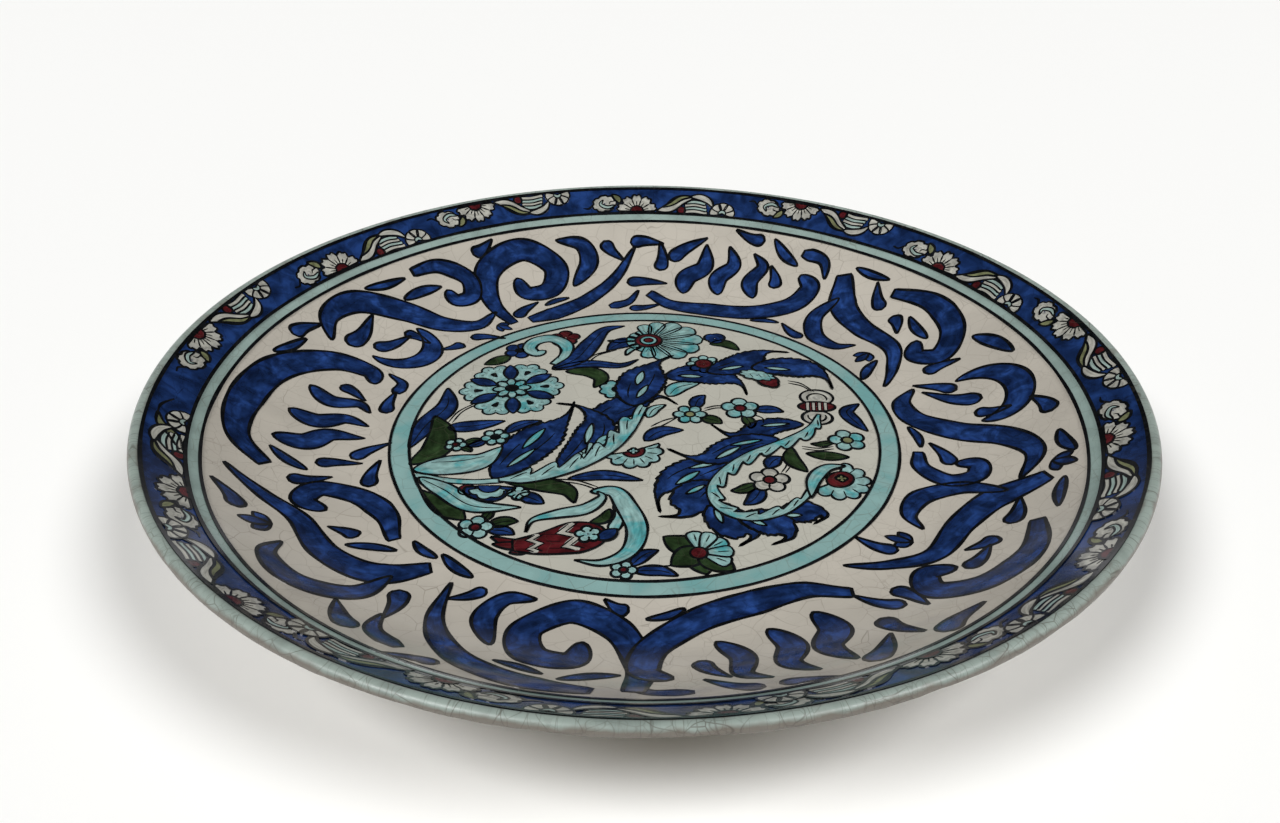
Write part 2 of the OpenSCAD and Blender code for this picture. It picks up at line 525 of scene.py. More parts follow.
def turned(name, profile, steps=360, open_at_axis=False):
    """A ring or disc turned from its section, a closed outline of (radius, height) points.
    open_at_axis leaves out the edge that would run along the axis."""
    deselect()
    bpy.ops.mesh.primitive_circle_add(vertices=len(profile), radius=10 * MM, fill_type="NOTHING")
    piece = bpy.context.object
    piece.name = piece.data.name = name
    for vertex, (radius, height) in zip(piece.data.vertices, profile):
        vertex.co = (radius * MM, 0, height * MM)
    if open_at_axis:
        ends = {0, len(profile) - 1}
        for edge in piece.data.edges:
            edge.select = set(edge.vertices) == ends
        for vertex in piece.data.vertices:
            vertex.select = False
        bpy.ops.object.mode_set(mode="EDIT")
        bpy.ops.mesh.select_mode(type="EDGE")
        bpy.ops.mesh.delete(type="EDGE")
        bpy.ops.object.mode_set(mode="OBJECT")
    bpy.ops.object.mode_set(mode="EDIT")
    bpy.ops.mesh.select_mode(type="VERT")
    bpy.ops.mesh.select_all(action="SELECT")
    bpy.ops.mesh.spin(steps=steps, angle=TURN, center=(0, 0, 0), axis=(0, 0, 1))
    bpy.ops.mesh.select_all(action="SELECT")
    bpy.ops.mesh.remove_doubles(threshold=0.002 * MM)
    bpy.ops.mesh.normals_make_consistent(inside=False)
    bpy.ops.object.mode_set(mode="OBJECT")
    bpy.ops.object.shade_smooth_by_angle(angle=math.radians(35))
    return piece


def face_zone(name, start, end):
    """A stretch of the painted face, one skin thick."""
    skin = sizes().skin
    path = stations(start, end)
    profile = [under(r, 0) for r in path] + [under(r, skin) for r in reversed(path)]
    return turned(name, profile, open_at_axis=start == 0)


class PLATE_OT_clay(bpy.types.Operator):
    """Adds the thrown dish and its turned foot ring"""

    bl_idname = "plate.clay"
    bl_label = "Clay body"

    def execute(self, context):
        self.dish()
        self.foot()
        return {"FINISHED"}

    def dish(self):
        """Floor, curve, wall and lip, less the skins of glaze on both faces."""
        s = sizes()
        start = lip()[1]
        lean = math.degrees(s.wall_angle)
        face = [under(r, s.skin) for r in stations(0, start, CLAY_SPACING)]
        around = lip_arc(s.lip_thickness / 2 - s.skin, 90 + lean, lean - 90)[1:-1]
        back = [under(r, thickness(r) - s.skin)
                for r in stations(start, s.floor_radius + BACK_GLAZE_GAP, CLAY_SPACING)]
        base = [(FOOT_R, FOOT_TOP), (0, FOOT_TOP)]
        body = turned("clay_dish", face + around + back + base, open_at_axis=True)
        finish_piece(body, bare_clay(), ["clay_body"])

    def foot(self):
        """The foot ring, tapered by the turning tool and rounded where it was wiped clean."""
        taper = 0.07 * FOOT_TOP
        edge_r = 1.2
        outer_x = FOOT_R - taper - edge_r
        inner_x = FOOT_WELL_R + taper + edge_r
        bends = [math.radians(d) for d in range(0, 91, 18)]
        outer = [(outer_x + edge_r * math.cos(a), edge_r - edge_r * math.sin(a)) for a in bends]
        inner = [(inner_x - edge_r * math.cos(a), edge_r - edge_r * math.sin(a)) for a in reversed(bends)]
        ring = turned("foot_ring_turned", [(FOOT_WELL_R, FOOT_TOP), (FOOT_R, FOOT_TOP)] + outer + inner)
        finish_piece(ring, bare_clay(), ["foot_ring"])


class PLATE_OT_grounds(bpy.types.Operator):
    """Adds the glazed zones of the painted face, from the medallion out to the lip"""

    bl_idname = "plate.grounds"
    bl_label = "Glazed zones"

    def execute(self, context):
        zones = (
            ("medallion_ground", medallion_glaze, "white_glaze"),
            ("medallion_ring", turquoise_ring_glaze, "turquoise_glaze"),
            ("scroll_band_ground", white_glaze, "white_glaze"),
            ("border_ring", pale_turquoise_glaze, "pale_turquoise_glaze"),
            ("cobalt_border", cobalt_ground, "cobalt_glaze"),
        )
        start = 0
        for node, material, slot in zones:
            # neighbouring zones meet under the middle of the black line between them
            end = edge_radius(node) + sizes().line_width / 2
            piece = face_zone(node + "_glazed", start, end)
            finish_piece(piece, material(), [node])
            start = end
        self.rim(start)
        return {"FINISHED"}

    def rim(self, start):
        """The lip's glaze, which ends in an uneven edge just under the widest point."""
        s = sizes()
        lip_start = 90 + math.degrees(s.wall_angle)
        glaze_end = -12
        outer = lip_arc(s.lip_thickness / 2, lip_start, glaze_end)
        inner = lip_arc(s.lip_thickness / 2 - s.skin, glaze_end, lip_start)
        piece = turned("rim_glaze_turned", [under(start, 0)] + outer + inner + [under(start, s.skin)])
        self.let_run(piece, math.radians(25), math.radians(glaze_end))
        finish_piece(piece, rim_grey_glaze(), ["rim_glaze"])

    def let_run(self, piece, still, edge):
        """Slides the glaze round the lip by an uneven amount: none above the angle still, and
        most at the angle edge."""
        (lip_x, lip_z), _ = lip()
        furthest = math.radians(26)
        for vertex in piece.data.vertices:
            out = math.hypot(vertex.co.x, vertex.co.y) / MM - lip_x
            up = vertex.co.z / MM - lip_z
            angle = math.atan2(up, out)
            low = min(max((still - angle) / (still - edge), 0), 1)
            if low and out > 0:
                around = Vector((vertex.co.x, vertex.co.y, 0)).normalized()
                run = noise.fractal(around * 9, 0.8, 2.0, 4) * furthest * low
                depth = math.hypot(up, out)
                radius = (lip_x + depth * math.cos(angle + run)) * MM
                height = (lip_z + depth * math.sin(angle + run)) * MM
                vertex.co = (around.x * radius, around.y * radius, height)


class PLATE_OT_back(bpy.types.Operator):
    """Adds the glaze on the outside of the wall and inside the foot ring"""

    bl_idname = "plate.back"
    bl_label = "Back glaze"

    def execute(self, context):
        s = sizes()
        path = stations(s.floor_radius + BACK_GLAZE_GAP, lip()[1] - BACK_GLAZE_STOP, CLAY_SPACING)
        profile = [under(r, thickness(r) - s.skin) for r in path]
        profile += [under(r, thickness(r)) for r in reversed(path)]
        finish_piece(turned("back_glaze_turned", profile), white_glaze(), ["back_glaze"])
        top, low = FOOT_TOP, FOOT_TOP - s.skin
        disc = [(0, top), (FOOT_WELL_R, top), (FOOT_WELL_R, low), (0, low)]
        piece = turned("foot_well_glaze_turned", disc, open_at_axis=True)
        finish_piece(piece, white_glaze(), ["foot_well_glaze"])
        return {"FINISHED"}


# ---------------------------------------------------------------- brush strokes
# Plan positions are complex numbers in millimetres: x to the right, y away from the viewer.
# No primitive gives a brush stroke, so each stroke is a ribbon between two edges, laid on
# the painted face as a thin closed solid. Every coat of paint stands one step above the last.

GROUND_LIFT = 0.03
SUNK = -0.08
TOOTH_MM = 2.7
TIP_CURL_MM = 3.4
STROKE_CELL_MM = 2.2


def at(spot):
    """A plan position as a complex number, whether it is given as one or as (x, y)."""
    return complex(*spot) if isinstance(spot, tuple) else complex(spot)


def heading(degrees):
    """A unit step in a direction, anticlockwise from the right."""
    return cmath.exp(1j * math.radians(degrees))


def flow(points, step=0.8):
    """A soft line through given points, with a point about every step."""
    spots = [at(point) for point in points]
    line = []
    for i in range(len(spots) - 1):
        b, c = spots[i], spots[i + 1]
        a = spots[i - 1] if i else 2 * b - c
        d = spots[i + 2] if i + 2 < len(spots) else 2 * c - b
        count = max(2, round(abs(c - b) / step))
        for k in range(count):
            t = k / count
            line.append(b + 0.5 * t * ((c - a) + t * ((2 * a - 5 * b + 4 * c - d)
                                                      + t * (3 * b - a - 3 * c + d))))
    line.append(spots[-1])
    return np.array(line)


def fine_step(points):
    """A step short enough that small strokes come out round too."""
    spots = [at(point) for point in points]
    reach = sum(abs(b - a) for a, b in zip(spots, spots[1:]))
    return min(0.8, reach / 18)


def arc(centre, radius, start, end, step=0.8):
    """Points along an arc, with its angles in degrees."""
    count = max(4, round(abs(math.radians(end - start)) * radius / step))
    return at(centre) + radius * np.exp(1j * np.radians(np.linspace(start, end, count + 1)))


def ease(share):
    """Eases from 0 to 1 as the share does."""
    share = np.clip(share, 0, 1)
    return share * share * (3 - 2 * share)


def along(line):
    """How far along the line each of its points is, from 0 to 1."""
    run = np.concatenate([[0], np.cumsum(np.abs(np.diff(line)))])
    return run / max(run[-1], 1e-9)


def sideways(line, closed=False):
    """Unit steps to the left of the line at each of its points."""
    ahead = np.roll(line, -1) - np.roll(line, 1) if closed else np.gradient(line)
    return 1j * ahead / np.maximum(np.abs(ahead), 1e-9)


# Forms give a stroke's half width as a share of its fullest, from its start, 0, to its end, 1.


def leaf_form(fat):
    """Pointed at both ends and widest at the share fat."""
    bend = math.log(0.5) / math.log(fat)
    return lambda t: np.sin(np.pi * np.clip(t, 0, 1) ** bend) ** 0.8


def drop_form(head):
    """A comma: a round head that runs out into a fine tail."""
    return lambda t: np.where(t < head, np.sqrt(np.clip(1 - (1 - t / head) ** 2, 0, 1)),
                              (1 - (t - head) / (1 - head)) ** 0.8)


def petal_form(t):
    """A petal, widest near its round outer end."""
    return np.clip(0.22 + 0.9 * t ** 0.8, 0, 1) * np.sqrt(np.clip(1 - t ** 7, 0, 1))


def even_form(t):
    """A stem or band of even width, with slightly rounded ends."""
    return np.clip(np.minimum(t, 1 - t) * 30 + 0.35, 0, 1) ** 0.5


def curl_form(t):
    """Even along most of the stroke, then closing to a round end."""
    return np.clip(0.45 + 1.6 * t, 0, 1) * np.sqrt(np.clip(1 - t ** 10, 0, 1))


def reed_form(t):
    """A bold stroke: a slanted start, a full belly, and a long fine point."""
    return np.clip(0.45 + 3.2 * t, 0, 1) * np.clip(1 - t, 0, 1) ** 0.62


def swell_form(t):
    """Fine at both ends and full in the middle."""
    return np.sin(np.pi * np.clip(t, 0, 1) ** 0.9) ** 0.7


def tulip_form(t):
    """A tulip's cup: a round base, a full belly, and a narrow mouth."""
    base = np.sqrt(np.clip(1 - (1 - np.clip(t / 0.36, 0, 1)) ** 2, 0, 1))
    return base * (1 - 0.66 * np.clip((t - 0.36) / 0.64, 0, 1) ** 1.2)


def scallops(count, depth, notch=0.0, turn=0.0):
    """Share of the full radius round a flower's edge, with one scallop to each petal."""
    def edge(angles):
        angles = angles + turn
        lobe = np.abs(np.cos(angles * count / 2))
        dent = np.exp(-(((angles * count / TURN + 0.5) % 1 - 0.5) / 0.13) ** 2)
        return 1 - depth * (1 - lobe ** 0.7) - notch * dent
    return edge


class Painter:
    """Draws in a motif's own plan, and gathers each colour's strokes for the whole plate."""

    def __init__(self, coats, place=None, level=0, seed=1, weight=1.0):
        self.coats = coats
        self.weight = weight
        self.place = place or (lambda plan: plan)
        self.level = level
        self.hand = random.Random(seed)

    def moved(self, centre=(0, 0), turn=0.0, size=1.0, mirror=False, level=0):
        """A painter for the same coats in a plan that is moved, turned and scaled."""
        spin = size * heading(turn)
        origin = at(centre)

        def place(plan):
            return self.place(origin + spin * (np.conj(plan) if mirror else plan))

        return Painter(self.coats, place, self.level + level, self.hand.random(), self.weight)

    def ribbon(self, colour, left, right, level, closed=False):
        """A patch of colour between two edges, so many coats above the glaze."""
        lift = GROUND_LIFT + sizes().paint_step * (self.level + level)
        left, right = self.place(np.asarray(left)), self.place(np.asarray(right))
        self.coats.setdefault(colour, []).append((left, right, lift, closed))

    def line(self, path, width=None, level=1, colour="black", closed=False, taper=0.25):
        """A line drawn with a fine brush: its width swells and thins as a hand's does."""
        width = (width or sizes().line_width) * self.weight
        path = np.asarray(path)
        t = along(path)
        self.hand.random()  # one draw is passed over, so that each line keeps its chosen swell
        start = self.hand.uniform(0, TURN)
        reach = abs(path[0] - path[-1]) + np.abs(np.diff(path)).sum()
        swell = 1 + 0.16 * np.sin(t * max(1, round(reach / 14)) * TURN + start)
        if not closed:
            swell = swell * np.clip(0.25 + np.minimum(t, 1 - t) / taper, 0, 1) ** 0.6
        half = sideways(path, closed) * (0.5 * width * swell)
        self.ribbon(colour, path + half, path - half, level, closed)

    def shape(self, colour, left, right, level=0, outline=None):
        """A filled form between two edges, with a black line drawn round it."""
        self.ribbon(colour, left, right, level)
        if outline != 0:
            edge = np.concatenate([left, right[::-1]])
            keep = np.concatenate([[True], np.abs(np.diff(edge)) > 0.05])
            self.line(edge[keep], outline, level + 1, closed=True)

    def stroke(self, colour, points, width, form, level=0, outline=None):
        """A stroke along a line, with its half width given by a form."""
        path = flow(points, fine_step(points)) if len(points) < 12 else np.asarray(points)
        half = sideways(path) * (0.5 * width * form(along(path)) + 0.03)
        self.shape(colour, path + half, path - half, level, outline)

    def leaf(self, colour, points, width, fat=0.42, vein=True, level=0):
        """A small leaf along a line, pointed at both ends, with a fine vein or none."""
        path = flow(points, fine_step(points))
        half = sideways(path) * (0.5 * width * leaf_form(fat)(along(path)) + 0.03)
        self.shape(colour, path + half, path - half, level)
        if vein:
            self.line(path[2:max(3, int(len(path) * 0.86))], 0.4, level + 2)

    def sawn_leaf(self, points, width, fat, level, slit="turquoise"):
        """A long cobalt leaf with fine teeth that lean towards its hooked tip."""
        path = flow(points, 0.45)
        t = along(path)
        steps = np.diff(path)
        bend = np.sign((steps[-1] / steps[len(steps) // 2]).imag)
        path = path + sideways(path) * bend * TIP_CURL_MM * np.clip((t - 0.74) / 0.26, 0, 1) ** 2
        side = sideways(path)
        half = (0.5 * width * leaf_form(fat)(t) + 0.03) * (1 - 0.9 * ease((t - 0.5) / 0.42))
        teeth = np.abs(np.diff(path)).sum() / TOOTH_MM
        edges = []
        for sign, start in ((1, 0.5), (-1, 0)):
            saw = (t * teeth + start) % 1
            hook = saw ** 1.3 * np.clip((1 - saw) * 5, 0, 1) * np.minimum(0.2 * half, 0.9)
            edges.append(path + sign * side * (half + hook) - 1j * side * 0.6 * hook)
        self.shape("cobalt", edges[0], edges[1], level, 0.95)
        self.slits(path, side, half, slit, level)

    def slits(self, path, side, half, colour, level):
        """Inside a sawn leaf: one or two bright slits, with a dark line beside each."""
        last = len(path) - 1
        for k in range(2 if last > 80 else 1):
            sign = 1 if k % 2 else -1
            i = int(last * (0.14 + 0.22 * k))
            j = i + int(last * 0.27)
            start = path[i] + sign * side[i] * half[i] * 0.12
            end = path[j] + sign * side[j] * half[j] * 0.36
            if colour:
                self.stroke(colour, [start, (start + end) / 2, end], 0.22 * half[i] + 1.1,
                            leaf_form(0.5), level + 3, 0.7)
            shift = -sign * 0.42
            self.line(path[i:j] + side[i:j] * half[i:j] * shift, 0.6, level + 2, taper=0.7)

    def stem(self, points, width, level):
        """A turquoise stem of even width between two fine black lines."""
        path = flow(points)
        half = sideways(path) * (0.5 * width * even_form(along(path)))
        self.ribbon("turquoise", path + half, path - half, level)
        for edge in (path + half, path - half):
            self.line(edge, 0.6, level + 1, taper=0.08)

    def disc(self, colour, centre, radius, edge=None, level=0, outline=None, turn=0.0,
             squash=1.0, inner=0.06, arc_from=0.0, arc_to=360.0):
        """A round or scalloped patch, or a sector of one."""
        whole = arc_to - arc_from >= 360
        count = max(16, round(math.radians(arc_to - arc_from) * radius / 0.55))
        angles = np.radians(np.linspace(arc_from, arc_to, count + 1))
        if whole:
            angles = angles[:-1]
        reach = radius * (edge(angles) if edge else np.ones_like(angles))
        spoke = np.cos(angles) + 1j * squash * np.sin(angles)
        spin = heading(turn)
        outer = at(centre) + reach * spoke * spin
        core = at(centre) + inner * radius * spoke * spin
        self.ribbon(colour, outer, core, level, closed=whole)
        if outline != 0:
            rim = outer if whole else np.concatenate([outer, core[::-1]])
            self.line(rim, outline, level + 1, closed=True)

    def rays(self, centre, directions, start, end, level):
        """Fine lines that part petals, each in a direction in degrees from the centre."""
        for direction in directions:
            ray = heading(direction) * np.linspace(start, end, 6)
            self.line(at(centre) + ray, 0.5, level, taper=0.6)

    def blossom(self, centre, radius, petals=6, colour="turquoise", heart="red", heart_size=0.3,
                depth=0.34, turn=0.0, level=0):
        """A flower seen from above: scalloped petals parted by fine lines round a heart."""
        self.disc(colour, centre, radius, scallops(petals, depth), level, 0.88, turn, inner=0.08)
        for k in range(petals + 1):  # the brush ends by going over the first line again
            angle = (k + 0.5) * TURN / petals
            ray = (math.cos(angle) + 1j * math.sin(angle)) * heading(turn) * radius
            self.line(at(centre) + ray * np.linspace(heart_size, 1 - depth * 0.8, 8), 0.7,
                      level + 2, taper=0.6)
        if heart:
            self.disc(heart, centre, radius * heart_size, None, level + 4, 0.85, turn)


def on_face(plan, lift):
    """Points on the painted face under plan positions, in metres, and its normals there."""
    radius = np.abs(plan)
    lean = slope(radius)
    out = plan / np.maximum(radius, 1e-6)
    up = np.stack([-np.sin(lean) * out.real, -np.sin(lean) * out.imag, np.cos(lean)], -1)
    spot = np.stack([plan.real, plan.imag, FACE_LEVEL + rise(radius)], -1) + up * lift
    return spot * MM, up


def quads(*corners):
    """Faces from four arrays of corners, one face to each place in the arrays."""
    return np.stack(corners, -1).reshape(-1, 4)


def stroke_solid(left, right, lift, closed):
    """One stroke as a thin closed solid: its corners, its faces, the brush coordinates and
    normals of their corners, and how many of the faces are on top. The brush coordinates run
    along the stroke in mm, and across it from -1 to 1."""
    across = right - left
    ahead = (np.roll(left, -1) - left)[:None if closed else -1]
    beside = across[:None if closed else -1]
    if np.sum(beside.real * ahead.imag - beside.imag * ahead.real) < 0:
        left, right = right, left
    rows = len(left)
    widest = float(np.abs(left - right).max())
    columns = max(1, math.ceil(widest / STROKE_CELL_MM)) + 1
    share = np.linspace(0, 1, columns)
    plan = left[:, None] * (1 - share) + right[:, None] * share
    top, up = on_face(plan, lift)
    low, _ = on_face(plan, SUNK)
    points = np.concatenate([top.reshape(-1, 3), low.reshape(-1, 3)])

    upper = np.arange(rows * columns).reshape(rows, columns)
    lower = upper + rows * columns
    this = np.arange(rows if closed else rows - 1)
    following = (this + 1) % rows
    tops = quads(upper[this, :-1], upper[this, 1:], upper[following, 1:], upper[following, :-1])
    parts = [
        tops,
        quads(lower[following, :-1], lower[following, 1:], lower[this, 1:], lower[this, :-1]),
        quads(upper[following, 0], lower[following, 0], lower[this, 0], upper[this, 0]),
        quads(upper[this, -1], lower[this, -1], lower[following, -1], upper[following, -1]),
    ]
    if not closed:
        parts.append(quads(upper[0, :-1], lower[0, :-1], lower[0, 1:], upper[0, 1:]))
        parts.append(quads(upper[-1, 1:], lower[-1, 1:], lower[-1, :-1], upper[-1, :-1]))
    faces = np.concatenate(parts)
    other_corners = 4 * (len(faces) - len(tops))

    run = np.concatenate([[0], np.cumsum(np.abs(np.diff((left + right) / 2)))])
    run = np.append(run, run[-1] + 1)
    side = 2 * share - 1
    shape = (len(this), columns - 1)
    start, end = (np.broadcast_to(run[i][:, None], shape) for i in (this, this + 1))
    near, far = np.broadcast_to(side[:-1], shape), np.broadcast_to(side[1:], shape)
    brush = np.stack([start, near, start, far, end, far, end, near], -1).reshape(-1, 2)
    brush = np.concatenate([brush, np.tile([0.0, 1.0], (other_corners, 1))])
    normals = np.concatenate([up.reshape(-1, 3)[tops.ravel()], np.zeros((other_corners, 3))])
    return points, faces, brush, normals, len(tops)


def lay(name, strokes, material, nodes=()):
    """Lays one colour's strokes on the painted face as one piece."""
    points, faces, brush, normals, on_top = [], [], [], [], []
    first = 0
    for stroke in strokes:
        corners, quad_faces, coordinates, directions, tops = stroke_solid(*stroke)
        points.append(corners)
        faces.append(quad_faces + first)
        brush.append(coordinates)
        normals.append(directions)
        on_top.append(np.arange(len(quad_faces)) < tops)
        first += len(corners)
    mesh = bpy.data.meshes.new(name)
    mesh.from_pydata(np.concatenate(points).tolist(), [], np.concatenate(faces).tolist())
    mesh.polygons.foreach_set("use_smooth", np.concatenate(on_top))
    layer = mesh.uv_layers.new(name="brush")
    layer.data.foreach_set("uv", np.concatenate(brush).astype(np.float32).ravel())
    # the tops shade as the glazed face does, so paint and ground share one gloss
    mesh.normals_split_custom_set(np.concatenate(normals).tolist())
    mesh.update()
    piece = bpy.data.objects.new(name, mesh)
    bpy.context.collection.objects.link(piece)
    return finish_piece(piece, material, nodes)


def lay_coats(prefix, coats):
    """Lays every colour that a part of the decoration uses."""
    pots = {
        "cobalt": (cobalt_wash, "cobalt_glaze"),
        "turquoise": (turquoise_wash, "turquoise_glaze"),
        "pale": (pale_wash, "pale_turquoise_glaze"),
        "red": (red_slip, "red_slip"),
        "green": (green_wash, "green_glaze"),
        "olive": (olive_wash, "olive_glaze"),
        "white": (petal_white, "white_glaze"),
        "black": (black_line, "black_line"),
    }
    for colour, strokes in coats.items():
        material, slot = pots[colour]
        lay(prefix + "_" + colour, strokes, material())


# ---------------------------------------------------------------- medallion


def sprig(brush, centre, radius, petals, heart, turn, leaves, colour="turquoise"):
    """A small blossom, with short leaves given as (colour, direction, length, width)."""
    middle = at(centre)
    for leaf_colour, direction, length, width in leaves:
        way = heading(direction)
        bow = way * 1j * length * 0.12
        spine = [middle + way * radius * 0.7,
                 middle + way * (radius + length * 0.5) + bow,
                 middle + way * (radius + length)]
        brush.leaf(leaf_colour, spine, width, 0.45, level=1)
    brush.blossom(centre, radius, petals, colour, heart, 0.3, turn=turn, level=4)


def feather(brush, points, width, lobes, level):
    """A turquoise stem with hooked lobes along one edge and short black quill marks."""
    path = flow(points, 0.5)
    t = along(path)
    side = sideways(path)
    fade = np.clip(np.minimum(t * 8, (1 - t) * 3.4) + 0.25, 0, 1)
    saw = (lobes * t) % 1
    hook = np.sin(np.pi * saw ** 1.5) ** 0.7
    left = path + side * (0.3 + width * fade * (0.1 + 0.5 * hook)) - 1j * side * width * 0.42 * hook
    right = path - side * (0.3 + 0.3 * width * fade)
    brush.shape("turquoise", left, right, level, 0.65)
    for k in range(lobes):
        i = int((k + 0.95) / lobes * (len(path) - 1))
        ahead = -1j * side[i]
        start = path[i] + side[i] * width * 0.34 * fade[i] + ahead * 0.3
        mark = flow([start, start - ahead * width * 0.3 - side[i] * width * 0.12 * fade[i],
                     start - ahead * width * 0.7 - side[i] * width * 0.34 * fade[i]])
        brush.line(mark, 0.6, level + 2, taper=0.7)


def rosette(brush, centre, radius):
    """The large flower: a small eight petalled flower ringed by blue leaves and lobed petals."""
    flower = brush.moved(centre, turn=8)
    for k in range(6):
        way = heading(60 * k)
        middle = way * radius * 0.66
        ring = flower.moved((middle.real, middle.imag), turn=60 * k)
        ring.disc("turquoise", (0, 0), radius * 0.4,
                  scallops(7, 0.3), 0, 0.75, squash=1.1)
        ring.stroke("black", [(-1.5, 0), (0.2, 0), (1.8, 0)], radius * 0.15, petal_form, 2, 0)
        for spread in (-0.9, -0.45, 0, 0.45, 0.9):
            dot = cmath.exp(1j * spread) * radius * 0.22
            ring.line([dot, dot * 1.3], 0.5, 2, taper=0.9)
    for k in range(6):
        way = heading(60 * k + 30)
        flower.leaf("cobalt", [way * radius * 0.34, way * radius * 0.6, way * radius * 0.95],
               radius * 0.28, 0.5, vein=False, level=3)
    flower.blossom((0, 0), radius * 0.38, 8, "turquoise", "black", 0.32, depth=0.42, level=6)


def daisy(brush, centre):
    """The carnation at the top: long broad petals to one side, short ones to the other."""
    flower = brush.moved(centre)
    for k in range(6):
        way = heading(118 + k * 26)
        flower.stroke("turquoise", [way * 3, way * 6, way * 8.6], 5, petal_form, 0, 0.65)
    for k in (0, 2, 4, 6, 8, 1, 3, 5, 7):
        direction = -92 + k * 24
        reach = 13 + 7 * max(0, math.cos(math.radians(direction - 4)))
        way = heading(direction)
        flower.stroke("turquoise", [way * 3.2, way * reach * 0.6, way * reach], 0.4 * reach + 0.8,
                 petal_form, level=2 + k % 2, outline=0.7)
        for lean in (0.93, 1.07):
            flower.line([way * 6, way ** lean * reach * 0.66], 0.42, 5, taper=0.6)
    flower.disc("red", (-0.3, 0), 5, None, 6, 0.8)
    flower.disc("turquoise", (-0.3, 0), 3.2, None, 8, 0.7)
    flower.disc("red", (-0.3, 0), 1.7, None, 10, 0.6)


def tulip(brush):
    """The red tulip lying on its side, with zigzags of reserved white."""
    tails = (
        ((-33, -60), (-38, -59.6), (-43, -57.2)),
        ((-33, -61.2), (-38, -61), (-42.2, -60.4)),
        ((-32, -62.4), (-34.8, -63.4), (-37, -64.2)),
    )
    for k, tail in enumerate(tails):
        brush.leaf("red", tail, 3.2, 0.4, vein=False, level=5 + 2 * k)
    spine = flow([(-10.5, -55), (-19, -57.2), (-28, -60), (-36.5, -61.2)])
    side = sideways(spine)
    half = 6.7 * tulip_form(along(spine)) + 0.05
    brush.shape("red", spine + side * half, spine - side * half, 11, 0.8)
    for start in (0.4, 0.78):
        i = int(start * (len(spine) - 1))
        steps = np.linspace(-0.94, 0.94, 5)
        ahead = -1j * side[i]
        jump = 0.34 * half[i]
        zigzag = [spine[i] + side[i] * half[i] * step + ahead * (jump if k % 2 else -jump)
                  for k, step in enumerate(steps)]
        fine = np.concatenate([np.linspace(a, b, 5)[:-1] for a, b in zip(zigzag, zigzag[1:])])
        broad = 1.3 + 0.16 * half[i]
        brush.line(fine, broad, 13, "white", taper=0.1)
        for shift in (-0.62, 0.62):
            brush.line(fine + ahead * shift * broad, 0.55, 14, taper=0.1)
    for k in range(3):
        row = spine[int(len(spine) * 0.56)] + side[len(spine) // 2] * (k - 1) * 3.2
        brush.line([row + 1.6, row - 2.2], 0.55, 13, taper=0.7)
    brush.leaf("cobalt", [(-13.6, -58), (-10.6, -56.4), (-7.6, -53.6)], 4.4, 0.5, vein=False, level=16)
    brush.blossom((-15.8, -56), 3.7, 5, "turquoise", None, turn=30, level=18)


def left_tuft(brush):
    """The tuft that every stem grows from, and what springs from it to the left and below."""
    brush.leaf("cobalt", [(-74.4, -13), (-71.5, 0), (-66.5, 12), (-68, 24)], 8, 0.5, level=1)
    brush.leaf("green", [(-72.5, -22), (-66, -14), (-65.5, -4), (-69.5, 6)], 9.5, 0.45, vein=False, level=3)
    brush.leaf("turquoise", [(-71, -25), (-61, -22.5), (-51, -20), (-45, -12)], 10, 0.42, vein=False, level=5)
    brush.line(flow([(-66, -21), (-57, -20), (-50, -17.5)]), 0.4, 7, taper=0.6)
    brush.stem([(-70, -27.5), (-61, -30), (-52, -31), (-42, -30)], 2.4, level=2)
    brush.leaf("turquoise", [(-68.5, -29), (-60, -35), (-50, -43), (-36, -43.5)], 6.6, 0.4, level=4)
    brush.leaf("green", [(-67, -35), (-61, -41), (-51.5, -49.5)], 7, 0.6, level=1, vein=False)
    sprig(brush, (-48, -53), 5.2, 5, "red", 10,
          (("green", 14, 7, 4.6), ("cobalt", -15, 6.6, 4.2), ("green", 60, 4, 3)))
    brush.disc("cobalt", (-46.5, -33), 8, scallops(5, 0.16), 4, arc_from=185, arc_to=355)
    brush.disc("turquoise", (-46.5, -33.5), 6.2, scallops(7, 0.2), 6, 0.6, arc_from=195, arc_to=345)
    brush.disc("cobalt", (-46.5, -33), 3.4, None, 8, 0.6, arc_from=180, arc_to=360)
    brush.disc("red", (-53, -35), 2.6, None, 3, 0.6)
    brush.blossom((-37.5, -36.5), 3.4, 4, "turquoise", None, level=5)
    brush.leaf("cobalt", [(-38, -39), (-34.5, -38.5), (-29.5, -41.5)], 5, 0.45, level=4)
    brush.leaf("green", [(-42, -31), (-31, -32), (-23, -35), (-20.5, -41)], 6.6, 0.5, vein=False, level=3)
    brush.leaf("cobalt", [(-23, -29), (-12, -27), (-0.5, -29.5)], 4.8, 0.45, level=2)
    brush.leaf("cobalt", [(-64, -1), (-56, 0), (-46, 3.2)], 6, 0.35, level=3)
    sprig(brush, (-60, -11), 3.6, 5, "red", 0, (("green", 20, 5, 2.6), ("green", -35, 3, 2.4)))
    sprig(brush, (-48, -6.5), 4.6, 6, "black", 15, (("cobalt", -148, 5, 3.2),))
    brush.leaf("cobalt", [(-45, -4), (-40.5, 1), (-34, 3.4)], 4.2, 0.4, level=3)
    for bow in (0, 1.4):
        brush.line(flow([(-64.5 + bow, 2), (-62 + bow, 9), (-56.5 + bow, 15)]), 0.6, 2)
    rosette(brush, (-46, 24), 17)


